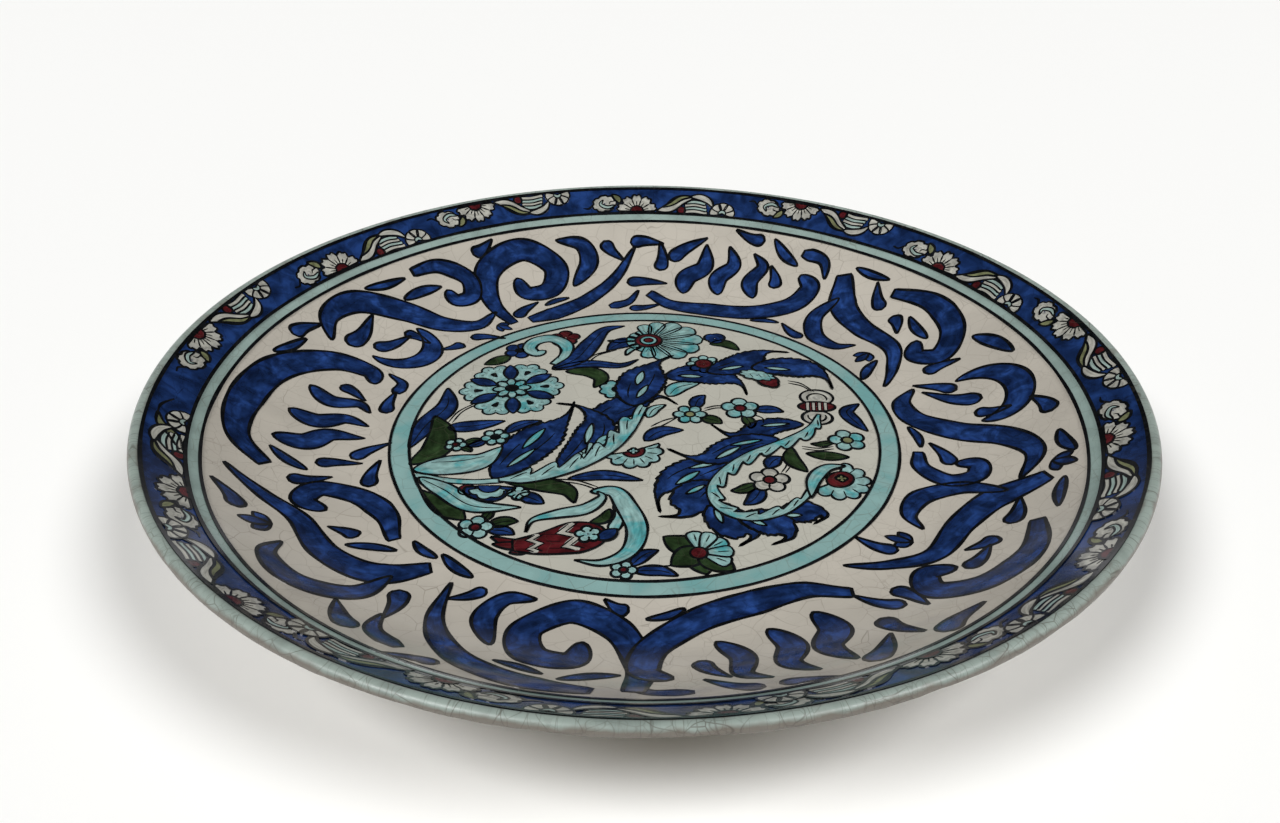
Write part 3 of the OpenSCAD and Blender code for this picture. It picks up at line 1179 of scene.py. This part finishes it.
def upper_left(brush):
    """The curl, the tall blue leaves and the carnation."""
    curl = [(-33, 41), (-29.2, 48), (-29.5, 55.5), (-35, 60.4),
            (-41, 58), (-42.6, 52.5), (-39.5, 48.8), (-36.5, 51)]
    brush.stroke("turquoise", curl, 5.2, curl_form, level=6)
    brush.line(flow([(-31.5, 45), (-30.6, 52), (-34.5, 56.5)]), 0.45, 8, taper=0.6)
    brush.blossom((-30, 61), 5.6, 5, "red", None, depth=0.3, turn=20, level=2)
    brush.blossom((-46, 51), 5.6, 5, "cobalt", "black", 0.25, depth=0.3, level=2)
    brush.leaf("green", [(-49, 47), (-53, 43.5), (-57.5, 40.5)], 5.4, 0.45, vein=False, level=1)
    brush.leaf("cobalt", [(-33, 38), (-25, 45), (-20, 57), (-15.5, 67.5), (-8, 71)], 7.6, 0.4, level=4)
    brush.leaf("cobalt", [(-33, 37.5), (-20, 41.5), (-9, 40.5), (-2.5, 45)], 4.6, 0.4, level=3)
    brush.leaf("green", [(-28, 36), (-20, 36), (-15.5, 31.5), (-17.5, 25)], 6.6, 0.45, vein=False, level=2)
    for bow in (0, 1.5):
        brush.line(flow([(-22 + bow, 42.5), (-18.5 + bow, 48), (-12 + bow, 52)]), 0.6, 6)
    brush.leaf("cobalt", [(-14, 51.5), (-9, 57), (-2, 59.5)], 7, 0.55, level=7)
    brush.leaf("turquoise", [(-7, 48), (-5.5, 52), (-2, 54)], 2.2, 0.5, vein=False, level=7)
    brush.leaf("green", [(-14, 59), (-9, 58.6), (-5, 60)], 2.2, 0.5, vein=False, level=6)
    daisy(brush.moved(level=8), (1.5, 59))
    brush.disc("cobalt", (26, 61.5), 4, scallops(3, 0.2), 4, turn=40)
    brush.leaf("green", [(24, 57), (29.5, 57.5), (34.5, 52.5)], 5, 0.45, vein=False, level=3)


def middle_leaves(brush):
    """The large saw edged leaves in the middle, the feathered stem and its half flowers."""
    brush.sawn_leaf([(-46, -29), (-37, -12), (-28, 2), (-21, 14)], 15, 0.42, 3)
    brush.sawn_leaf([(-27, -26), (-18.5, -12), (-15.5, 2), (-21, 12), (-27.5, 17)], 12.5, 0.42, 10)
    brush.sawn_leaf([(-16.5, -3), (-12, 8), (-3, 15.5), (5, 19.5), (12, 17.5)], 11.5, 0.4, 3, slit=None)
    brush.disc("turquoise", (-9.5, 24), 6.4, scallops(9, 0.2), 2, arc_from=95, arc_to=265)
    brush.disc("black", (-9.5, 24), 2.2, None, 4, 0, arc_from=95, arc_to=265)
    brush.sawn_leaf([(-4, 13), (-2.5, 24), (1, 35), (7, 49)], 15.5, 0.4, 14)
    brush.leaf("turquoise", [(8, 19.5), (11.5, 25.5), (19, 28.5)], 6.4, 0.4, level=3)
    brush.leaf("turquoise", [(1, 6), (3, 11), (7, 14)], 4, 0.4, level=3)
    feather(brush, [(-44, -30), (-33, -28.2), (-21, -22), (-11, -12), (-5, 0), (0, 12)], 7.8, 7, level=19)
    feather(brush, [(-22, -22), (-17, -15), (-14.5, -10), (-10.5, -6.5)], 4.4, 3, level=17)
    brush.disc("turquoise", (-3.5, -14), 9.4, scallops(11, 0.18), 4, arc_from=-165, arc_to=30)
    brush.rays((-3.5, -14), range(-140, 20, 26), 4.4, 7.6, 6)
    brush.disc("red", (-3.5, -13.8), 3.6, None, 6, 0.7, arc_from=-160, arc_to=30)
    brush.blossom((-3.5, -14), 1.7, 4, "turquoise", None, level=8)
    brush.leaf("cobalt", [(0, -8), (5, -2.5), (12.5, -1.5)], 5.6, 0.42, level=3)
    for bow in (0, 1.4):
        brush.line(flow([(2 + bow, 0.5 - bow), (6 + bow, 4 - bow), (11, 6.5)]), 0.6, 3)
        brush.line(flow([(20, 10.5 + bow), (24, 12.2 + bow), (28, 11.8 + bow)]), 0.6, 3)
    sprig(brush, (15, 8), 5.6, 6, "olive", 0, (("cobalt", 66, 8, 5), ("green", -28, 6, 5)))
    sprig(brush, (32, 12), 6.4, 5, "red", 20, (("cobalt", -8, 8, 4.6), ("green", -78, 6, 4)))
    brush.line(flow([(39, 3), (39, 6), (36.5, 8)]), 0.6, 3)


def upper_right(brush):
    """Three blue leaves, a fan, and the banded bud."""
    brush.sawn_leaf([(7, 33), (20, 35), (31, 30.5), (37.5, 23)], 12, 0.4, 3)
    brush.sawn_leaf([(22, 36), (34, 42), (42, 50), (51, 54)], 11.5, 0.42, 9)
    brush.sawn_leaf([(38, 39), (50, 40), (60, 37), (67.5, 27)], 12, 0.42, 15)
    brush.blossom((21, 42), 6.2, 8, "turquoise", "red", 0.5, depth=0.26, level=2)
    brush.disc("red", (43, 30), 5, scallops(4, 0.16), 21, turn=-60, squash=0.7)
    brush.disc("turquoise", (39.5, 33.5), 6.6, scallops(9, 0.22), 23, 0.6, turn=-20, squash=0.5)
    for x in (37, 40, 43):
        brush.line([complex(x, 34.4), complex(x + 0.9, 32)], 0.5, 25, taper=0.6)
    for bow in (0, 1.6):
        brush.line(flow([(50, 29 + bow), (54.5, 27 + bow), (57.5 + bow / 2, 23)]), 0.6, 3)
    brush.disc("white", (58.6, 19.4), 5.6, None, 3, 1.0, squash=0.88)
    brush.disc("white", (57.2, 6.6), 5, None, 3, 1.0, squash=0.85)
    brush.line(arc((58.6, 18.6), 3.3, -20, 200), 0.8, 5)
    brush.line(arc((57.2, 7.2), 3.0, 160, 380), 0.8, 5)
    brush.disc("red", (57.9, 13.4), 6.2, None, 6, 0.95, squash=0.5)
    for x in (54.6, 56.6, 58.6, 60.6):
        brush.stroke("white", [(x, 10.9), (x + 0.2, 13.4), (x + 0.5, 15.9)], 1.1, even_form, 8, 0.35)
    brush.leaf("cobalt", [(72.4, 15.5), (67.5, 10.5), (69.5, 4), (72.5, -1.5)], 5, 0.5, level=2)


def lower_right(brush):
    """The S shaped feathered stem, its fringe of blue leaves and its eye shaped flower."""
    fringe = (
        ([(52, 2.5), (42, 1.5), (31, -4.5), (20.5, -1)], 8.6),
        ([(43, -6.5), (32, -9.5), (20, -17.5), (7, -16)], 10.5),
        ([(29, -17.5), (16.5, -24), (6, -33), (1.5, -44)], 13),
        ([(21, -30), (14.5, -37), (12.5, -45), (6.5, -50)], 11.5),
        ([(19.5, -40), (25, -50), (31, -54), (30, -61)], 12),
        ([(27, -47), (36.5, -50), (41, -55), (39, -61)], 10.5),
        ([(38, -47), (46.5, -44.5), (52, -45.5), (52, -50.5)], 9),
    )
    for k, (spine, width) in enumerate(fringe):
        brush.sawn_leaf(spine, width, 0.42, 2 + 6 * (k % 2))
    stem = [(58, 8), (54, -1), (45, -8.5), (34, -15.5), (25.5, -24), (20.5, -34),
            (22.5, -43), (30, -47.5), (39, -45.5), (46, -40), (51, -33)]
    feather(brush, stem, 5.0, 13, level=15)
    brush.disc("turquoise", (59, -29), 9.8, scallops(11, 0.2), 3, 0.8, arc_from=-150, arc_to=75)
    brush.rays((59, -29), range(-115, 70, 32), 5.4, 8.4, 5)
    brush.stroke("turquoise", [(49.5, -38), (51.5, -29), (56, -23), (62, -21.5)], 4.4, leaf_form(0.5), 19)
    brush.disc("red", (59.5, -28.5), 4.6, None, 6, 0.7, squash=0.8, turn=40)
    brush.blossom((60, -28), 1.8, 4, "olive", None, level=8)
    sprig(brush, (38, -29), 6.2, 5, "red", 12, (("green", 205, 7, 4), ("cobalt", 235, 9, 5)), "white")
    brush.leaf("cobalt", [(43, -16.5), (40, -19), (38, -23)], 5, 0.5, level=3)
    for bow in (0, 1.3):
        brush.line(flow([(44 + bow, -17), (44 + bow, -21), (42 + bow, -25)]), 0.55, 3)
        brush.line(flow([(50, -10.5 - bow), (55, -11.5 - bow), (60, -10.5 - bow)]), 0.55, 3)
    sprig(brush, (65, -7), 6, 5, "olive", 30, (("green", 190, 6, 2.6),), "turquoise")
    brush.leaf("green", [(51, -14.5), (57, -15.8), (64, -16.4)], 4.6, 0.5, vein=False, level=3)
    brush.leaf("green", [(46.5, -11), (46, -18), (50, -24.5)], 5, 0.5, vein=False, level=5)


def lower_left(brush):
    """The tulip between its two hooked leaves, and the flowers at the foot."""
    tulip(brush)
    upper = [(-33.5, -55), (-32, -49.5), (-25, -46.5), (-17, -44), (-12.5, -38.5), (-14, -35.5)]
    lower = [(-16, -35.5), (-9, -35.5), (-5.5, -42), (-2, -53), (-4, -63), (-11, -68), (-19, -67)]
    brush.stroke("turquoise", upper, 4.6, leaf_form(0.62), 8)
    brush.stroke("turquoise", lower, 6.4, leaf_form(0.36), 6)
    brush.stroke("turquoise", [(-8.6, -42), (-7.2, -47.5), (-9.2, -54.5)], 4.2, petal_form, 4)
    for bow in (0, 1.4):
        brush.line(flow([(-27, -30.5 + bow), (-20, -31.5 + bow), (-14, -34.5 + bow)]), 0.55, 4)
    brush.leaf("green", [(-15.5, -50.5), (-11.5, -48.5), (-10, -44)], 3.6, 0.5, vein=False, level=5)
    sprig(brush, (-5.5, -71), 3.8, 5, "red", 0, (("cobalt", 42, 9, 4.2), ("cobalt", -8, 11, 4.2)))
    brush.line(flow([(0, -69.5), (7, -69), (11, -67)]), 0.6, 2)
    for k, (x, y) in enumerate(((5.5, -56.5), (17, -72.5), (7.5, -69), (24.5, -71))):
        spine = [(16.5, -62), (0.5 * x + 7.5, 0.5 * y - 31.5), (x, y)]
        brush.leaf("green", spine, 8.4, 0.42, vein=False, level=1 + 2 * k)
    middle = 15.5 - 63.5j
    for k, direction in enumerate((-28, 4, 36, 68, 100)):
        way = heading(direction)
        petal = [middle + way * reach for reach in (1.5, 5.5, 9.4)]
        brush.stroke("turquoise", petal, 5.4, petal_form, 9 + 2 * (k % 2), 0.7)
        brush.line(middle + way * np.linspace(5, 8, 5), 0.45, 13, taper=0.6)
    brush.disc("red", (15.2, -63.8), 2.4, None, 14, 0.7)


class PLATE_OT_medallion(bpy.types.Operator):
    """Paints the flowers and leaves of the medallion"""

    bl_idname = "plate.medallion"
    bl_label = "Medallion"

    def execute(self, context):
        coats = {}
        painter = Painter(coats, seed=7)
        for part in (left_tuft, upper_left, middle_leaves, upper_right, lower_right, lower_left):
            part(painter)
        lay_coats("medallion", coats)
        return {"FINISHED"}


# ---------------------------------------------------------------- border and rings


def round_the_rim(radius, angle, inward=False):
    """Carries a motif's plan onto the wall: along the rim clockwise, and up the wall from a
    ring, or down the wall when it hangs inward. Heights are measured along the slope."""
    climb = math.cos(sizes().wall_angle) * (-1 if inward else 1)
    start = math.radians(angle)
    return lambda plan: (radius + plan.imag * climb) * np.exp(1j * (start - plan.real / radius))


def flower_group(brush):
    """One group of the border's flowers: a bud, a half blossom, a long leaf, a striped fan and
    a small blossom."""
    brush.disc("white", (6.2, 4.5), 5.4, scallops(7, 0.2, 0.05), 2, 0.85, squash=0.78, turn=200)
    brush.stroke("pale", [(10.6, 3.6), (7.4, 2.6), (4.6, 4.2), (5.8, 6.4)], 1.5, swell_form, 4, 0.6)
    brush.line(flow([(11, 5.6), (8.8, 5.4), (8.2, 4.2)], 0.5), 0.55, 4, taper=0.6)
    brush.line(flow([(1.4, 4.4), (-0.4, 2.4), (-2.8, 2.6)], 0.5), 0.9, 3, taper=0.6)
    brush.leaf("olive", [(12.6, 4.6), (11.8, 6.8), (9.6, 9)], 2.6, 0.45, vein=False, level=3)
    heart = 19.6 + 0.2j
    brush.disc("white", heart, 9.0, scallops(10, 0.3, 0.12, math.pi / 10), 5, 0.85, arc_from=3, arc_to=177)
    for k in range(9):
        reach, width = (6.6, 0.75) if k % 2 else (5.2, 0.5)
        brush.line(heart + heading(18 * (k + 1)) * np.linspace(3, reach, 6), width, 7, taper=0.8)
    brush.disc("red", (19.6, 0.2), 2.9, scallops(8, 0.1), 12, 0.7, arc_from=0, arc_to=180)
    brush.leaf("white", [(28, 0.6), (33, 2.2), (37.6, 6.2), (43.6, 8.2)], 4.8, 0.5, vein=False, level=5)
    brush.leaf("olive", [(30.5, 2.6), (34, 4.3), (38, 7.4), (42.4, 8.3)], 2.0, 0.5, vein=False, level=7)
    brush.disc("red", (38.4, 1.3), 1.8, None, 3, 0.7)
    for k in range(4):
        height = 0.7 + 1.5 * k
        band = [(39.6, height), (44, height + 0.5), (49.4 - 0.4 * k, height - 0.2)]
        brush.stroke("pale" if k % 2 else "white", band, 1.6, even_form, 3, 0.5)
    brush.leaf("white", [(41.6, 8.2), (45.6, 8.2), (49.2, 6.6), (51.6, 3.4)], 3.0, 0.45, vein=False, level=8)
    middle = 55.6 + 0.9j
    for direction, level in ((172, 10), (132, 11), (90, 11), (48, 11), (8, 10)):
        petal = [middle + heading(direction) * reach for reach in (1, 3.2, 5.3)]
        brush.stroke("white", petal, 4.2, petal_form, level, 0.65)
    brush.disc("pale", middle, 1.6, None, 13, 0.6, arc_from=-20, arc_to=200)


class PLATE_OT_border(bpy.types.Operator):
    """Paints the flower groups that stand and hang in turn in the cobalt border"""

    bl_idname = "plate.border"
    bl_label = "Border flowers"

    # where each half blossom's heart lies, in degrees round from +X
    standing = (36, 91.5, 146, 208, 252, 297, 344.5)
    hanging = (9.5, 63, 118.5, 174, 230, 276, 319)

    def execute(self, context):
        coats = {}
        low = edge_radius("border_middle_line")
        high = edge_radius("cobalt_border")
        heart_lead = math.degrees(20 / low)  # a group starts 20 mm before its heart
        for k, angle in enumerate(self.standing):
            flower_group(Painter(coats, round_the_rim(low, angle + heart_lead), seed=k))
        for k, angle in enumerate(self.hanging):
            flower_group(Painter(coats, round_the_rim(high, angle + heart_lead, True), seed=20 + k))
        # a spare curled leaf fills the widest gap
        gap = Painter(coats, round_the_rim(low, 199), seed=40)
        gap.leaf("olive", [(0, 0.8), (6, 3), (10, 7), (15, 8.6)], 3, 0.45, vein=False, level=2)
        gap.line(flow([(14, 8.6), (19, 8.4), (24, 5.6)]), 0.9, 3, taper=0.5)
        lay_coats("border", coats)
        return {"FINISHED"}


class PLATE_OT_rings(bpy.types.Operator):
    """Draws the five black rings, turned on the wheel but with a brush's small wander"""

    bl_idname = "plate.rings"
    bl_label = "Brush rings"

    def execute(self, context):
        nodes = ("medallion_inner_line", "medallion_outer_line", "border_inner_line",
                 "border_middle_line", "rim_line")
        width = sizes().line_width
        lift = GROUND_LIFT + 12 * sizes().paint_step
        spin = np.exp(1j * np.linspace(0, TURN, 900, endpoint=False))
        for k, node in enumerate(nodes):
            middle = edge_radius(node) - width / 2
            wander = np.array([noise.fractal(Vector((way.real * 2.2, way.imag * 2.2, 5 * k)), 0.9, 2.0, 3)
                               for way in spin])
            swell = np.array([noise.noise(Vector((way.real * 7, way.imag * 7, 40 + 5 * k)))
                              for way in spin])
            path = spin * (middle + 0.16 * wander)
            half = 0.5 * width * (1.08 + 0.3 * swell)
            ring = (path + spin * half, path - spin * half, lift, True)
            lay(node + "_brushed", [ring], black_line(), [node])
        return {"FINISHED"}


# ---------------------------------------------------------------- brushwork band


def comma(brush, spot, turn, length=10, width=4.6, mirror=False):
    """A teardrop with a round head and a tail that bends away."""
    mark = brush.moved(spot, turn=turn, mirror=mirror)
    tail = [(0, 0), (length * 0.45, length * 0.06), (length, length * 0.3)]
    mark.stroke("cobalt", tail, width, drop_form(0.2))


def trefoil(brush, spot, turn, size=1.0):
    """Three short petals from one point."""
    mark = brush.moved(spot, turn=turn, size=size)
    for spread, reach in ((-42, 6.5), (42, 6.5), (0, 8.5)):
        way = heading(spread)
        mark.stroke("cobalt", [0, way * reach * 0.5, way * reach], 3.6, leaf_form(0.55), 2 * (spread == 0))


def sliver(brush, spot, turn, length=14, width=2.6):
    """A thin bar with pointed ends."""
    mark = brush.moved(spot, turn=turn)
    mark.stroke("cobalt", [(-length / 2, 0), (0, length * 0.05), (length / 2, 0)], width, swell_form, 0)


def wave_phrase(brush):
    """A long wave with a crescent over it and a ball ended curl."""
    wave = [(-31, -12), (-23, -19), (-11, -18), (0, -7), (8, 6), (19, 13), (31, 9)]
    curl = [(13, -20), (23, -19), (30, -11), (27, -3), (20.5, -3), (20, -9)]
    brush.stroke("cobalt", wave, 9.5, swell_form, 2)
    brush.stroke("cobalt", arc((-15, 4), 12.5, -10, 190), 8, swell_form, 0)
    brush.stroke("cobalt", curl, 6.4, curl_form, 4)
    comma(brush, (-8, 1), 60, 10)
    comma(brush, (4, 20), 180, 10)
    sliver(brush, (2, -20), 8, 15)
    trefoil(brush, (26, 17), 60, 0.8)


def spiral_phrase(brush):
    """A broad spiral with a half palmette springing from it."""
    spiral = [(-30, -19), (-31, -4), (-25, 12), (-10, 18), (0, 8), (-5, -3), (-15, -3), (-16, 6)]
    brush.stroke("cobalt", spiral, 9, curl_form, 2)
    brush.stroke("cobalt", [(-22, -20), (-8, -19), (8, -13), (22, -1), (31, 15)], 9.6, reed_form, 4)
    brush.stroke("cobalt", [(5, -3), (13, 8), (12, 17), (3, 20)], 6.6, swell_form, 0)
    brush.stroke("cobalt", [(18, -19), (27, -16), (32, -8)], 5.6, reed_form, 0)
    comma(brush, (20, 18), -70, 11)
    comma(brush, (-27, 20), 10, 9)
    sliver(brush, (-5, -11), 12, 12, 2.4)


def flame_phrase(brush):
    """A long sweep with three leaf shaped flames rising from it."""
    sweep = [(-33, -10), (-22, -18), (-4, -19), (14, -16), (28, -6), (31, 6), (25, 11)]
    brush.stroke("cobalt", sweep, 9, curl_form, 4)
    for k, lean in enumerate((-16, -2, 12)):
        flame = brush.moved((-18 + 15 * k, -9 + 1.5 * k), turn=lean)
        spine = [(0, 0), (-2.5, 9), (1.5, 17), (-2, 27 - 2 * k)]
        flame.leaf("cobalt", spine, 8 - k, 0.38, vein=False, level=2)
    brush.stroke("cobalt", [(22, 20), (30, 19), (34, 12)], 5.2, reed_form, 0)
    comma(brush, (18, 2), 100, 11)
    comma(brush, (-29, 4), 75, 13, 5)
    sliver(brush, (24, -19), 16, 13)


def palmette_phrase(brush):
    """A split leaf: one broad lobe, one narrow lobe curling back, and a counter curl."""
    lobe = [(-30, -16), (-22, -3), (-8, 3), (9, 4), (20, 11), (31, 20)]
    curl = [(-10, -16), (4, -19), (18, -15), (25, -5), (19, 1), (13, -4)]
    brush.stroke("cobalt", lobe, 11, reed_form, 2)
    brush.stroke("cobalt", [(-26, -6), (-28, 7), (-20, 17), (-8, 18), (-2, 12)], 7, swell_form, 4)
    brush.stroke("cobalt", curl, 7.6, curl_form, 2)
    comma(brush, (30, 4), -100, 12, 5)
    comma(brush, (-3, -8), 20, 9)
    trefoil(brush, (6, 12), 75, 0.9)
    sliver(brush, (-21, -20), 0, 13)


LEAST_ROOM_MM = 5.4


def fill_gaps(brush, coats, inner, outer):
    """Small marks wherever the ground is still bare, put in last and fitted to the room left."""
    edges = [edge for left, right, _, _ in coats["cobalt"] for edge in (left, (left + right) / 2, right)]
    taken = np.concatenate([edge[::3] for edge in edges])
    radii, turns = np.meshgrid(np.arange(inner + 4, outer - 3, 2.5), np.arange(0, 360, 1.5))
    spots = (radii * np.exp(1j * np.radians(turns))).ravel()
    room = np.minimum(np.abs(spots) - inner, outer - np.abs(spots)) + 1.5
    for part in np.array_split(taken, 12):
        room = np.minimum(room, np.abs(spots[:, None] - part).min(1))
    ways = np.exp(1j * np.radians(np.arange(0, 360, 15)))
    for count in range(40):
        best = int(room.argmax())
        if room[best] < LEAST_ROOM_MM:
            break
        spot = spots[best]
        length = min(19, 1.7 * room[best] + 3)
        lines = spot + ways[:, None] * np.linspace(-0.5, 0.5, 6) * length
        clear = np.abs(lines.ravel()[:, None] - taken).min(1).reshape(lines.shape).min(1)
        clear = np.minimum(clear, (outer - np.abs(lines)).min(1))
        clear = np.minimum(clear, (np.abs(lines) - inner).min(1))
        way = ways[int(clear.argmax())]
        tail = spot - way * length / 2
        turn = math.degrees(cmath.phase(way))
        width = min(6.2, 1.4 + 0.55 * room[best])
        if count % 4 == 3:
            sliver(brush, spot, turn, length * 1.1, width * 0.7)
        else:
            comma(brush, tail, turn, length, width, count % 2 == 0)
        mark = tail + way * np.linspace(0, 1, 8) * length
        taken = np.append(taken, mark)
        room = np.minimum(room, np.abs(spots[:, None] - mark).min(1) - width * 0.4)


class PLATE_OT_brushwork(bpy.types.Operator):
    """Paints the bold cobalt brushwork round the curved wall: scrolls that spell nothing"""

    bl_idname = "plate.brushwork"
    bl_label = "Brushwork band"

    line_weight = 1.15
    # the four phrases in the order they follow one another, some of them flipped
    order = (
        (wave_phrase, False), (palmette_phrase, True), (flame_phrase, False), (spiral_phrase, False),
        (wave_phrase, True), (flame_phrase, True), (palmette_phrase, False), (spiral_phrase, True),
        (flame_phrase, False), (palmette_phrase, True),
    )

    def execute(self, context):
        coats = {}
        inner = edge_radius("medallion_outer_line")
        outer = edge_radius("scroll_band_ground")
        middle = (inner + outer) / 2
        hand = random.Random(31)
        for k, (phrase, flipped) in enumerate(self.order):
            angle = math.radians(360 * k / len(self.order) + hand.uniform(-2, 2))

            def place(plan, angle=angle, flipped=flipped):
                height = -plan.imag if flipped else plan.imag
                return (middle + height) * np.exp(1j * (angle - plan.real / middle))

            phrase(Painter(coats, place, seed=50 + k, weight=self.line_weight))
        fill_gaps(Painter(coats, seed=90, weight=self.line_weight), coats, inner, outer)
        lay_coats("brushwork", coats)
        return {"FINISHED"}


# ---------------------------------------------------------------- stage


class PLATE_OT_stage(bpy.types.Operator):
    """Adds the floor, the soft lights and the camera"""

    bl_idname = "plate.stage"
    bl_label = "Studio"

    def execute(self, context):
        deselect()
        bpy.ops.mesh.primitive_plane_add(size=80, location=(0, 0, 0))
        floor = context.object
        floor.name = "studio_floor"
        material, tree = new_material("matt_white_paint")
        # white emulsion: dead matt, so the plate's shadow lies soft on it
        shader = add(tree, "ShaderNodeBsdfPrincipled", Base_Color=opaque("#F4F4F2"), Roughness=0.9)
        add(tree, "ShaderNodeOutputMaterial", Surface=shader)
        floor.data.materials.append(material)
        self.lights()
        self.room()
        self.camera()
        context.scene.view_settings.view_transform = "Standard"
        return {"FINISHED"}

    def lights(self):
        """Two broad soft lights behind and beside the viewer."""
        for name, place, power, spread in (
            ("key_light", (-0.95, -0.62, 1.4), 2.3, 24),
            ("fill_light", (1.0, -0.5, 1.4), 1.9, 24),
        ):
            bpy.ops.object.light_add(type="SUN", location=place)
            light = bpy.context.object
            light.name = name
            light.data.energy = power
            light.data.angle = math.radians(spread)
            light.rotation_euler = (-Vector(place)).to_track_quat("-Z", "Y").to_euler()

    def room(self):
        """A room that is pale at the horizon and dim above. The floor of the dish mirrors its
        dim part, so the colours stay deep."""
        world = bpy.data.worlds.new("dim_room")
        world.use_nodes = True
        tree = world.node_tree
        tree.nodes.clear()
        direction = add(tree, "ShaderNodeTexCoord").outputs["Generated"]
        up = add(tree, "ShaderNodeSeparateXYZ", Vector=direction).outputs["Z"]
        ramp = add(tree, "ShaderNodeValToRGB", Fac=up)
        stops = ramp.color_ramp.elements
        stops.new(0.5)
        for stop, height, level in zip(stops, (0.0, 0.12, 0.34), (0.97, 0.28, 0.02)):
            stop.position = height
            stop.color = (level, level, level * 1.03, 1)
        sky = add(tree, "ShaderNodeBackground", Color=ramp, Strength=1.0)
        add(tree, "ShaderNodeOutputWorld", Surface=sky)
        bpy.context.scene.world = world

    def camera(self):
        """A 30 mm lens held 35 cm from the middle of the dish, 33 degrees above level, and
        rolled by less than half a degree."""
        height = math.radians(33)
        distance = 0.3458
        away = -distance * math.cos(height)
        bpy.ops.object.camera_add(location=(0, away, FACE_LEVEL * MM + distance * math.sin(height)))
        camera = bpy.context.object
        lean = Euler((math.pi / 2 - height, 0, 0)).to_matrix()
        roll = Euler((0, 0, math.radians(0.4))).to_matrix()
        camera.rotation_euler = (lean @ roll).to_euler()
        camera.data.lens = 29.8
        camera.data.sensor_width = 36
        camera.data.shift_x = -0.0037
        camera.data.shift_y = 0.0124
        camera.data.clip_start = 0.01
        bpy.context.scene.camera = camera


class PLATE_PT_panel(bpy.types.Panel):
    """Lists the steps that build the plate"""

    bl_idname = "PLATE_PT_panel"
    bl_label = "Hand painted plate"
    bl_space_type = "VIEW_3D"
    bl_region_type = "UI"
    bl_category = "Plate"

    def draw(self, context):
        for step in STEPS:
            self.layout.operator(step.bl_idname)


STEPS = (PLATE_OT_stage, PLATE_OT_clay, PLATE_OT_grounds, PLATE_OT_back,
         PLATE_OT_medallion, PLATE_OT_brushwork, PLATE_OT_border, PLATE_OT_rings)
CLASSES = (PlateSizes, PlateColours) + STEPS + (PLATE_PT_panel,)


def register():
    """Makes the classes known to Blender, and gives the scene the plate's sizes and colours."""
    for cls in CLASSES:
        bpy.utils.register_class(cls)
    bpy.types.Scene.plate_sizes = bpy.props.PointerProperty(type=PlateSizes)
    bpy.types.Scene.plate_colours = bpy.props.PointerProperty(type=PlateColours)


def unregister():
    """Takes away what register added."""
    del bpy.types.Scene.plate_colours
    del bpy.types.Scene.plate_sizes
    for cls in reversed(CLASSES):
        bpy.utils.unregister_class(cls)


def main():
    """Builds the plate and its studio."""
    register()
    bpy.ops.plate.stage()
    bpy.ops.plate.clay()
    bpy.ops.plate.grounds()
    bpy.ops.plate.back()
    bpy.ops.plate.medallion()
    bpy.ops.plate.brushwork()
    bpy.ops.plate.border()
    bpy.ops.plate.rings()


if __name__ == "__main__":
    main()
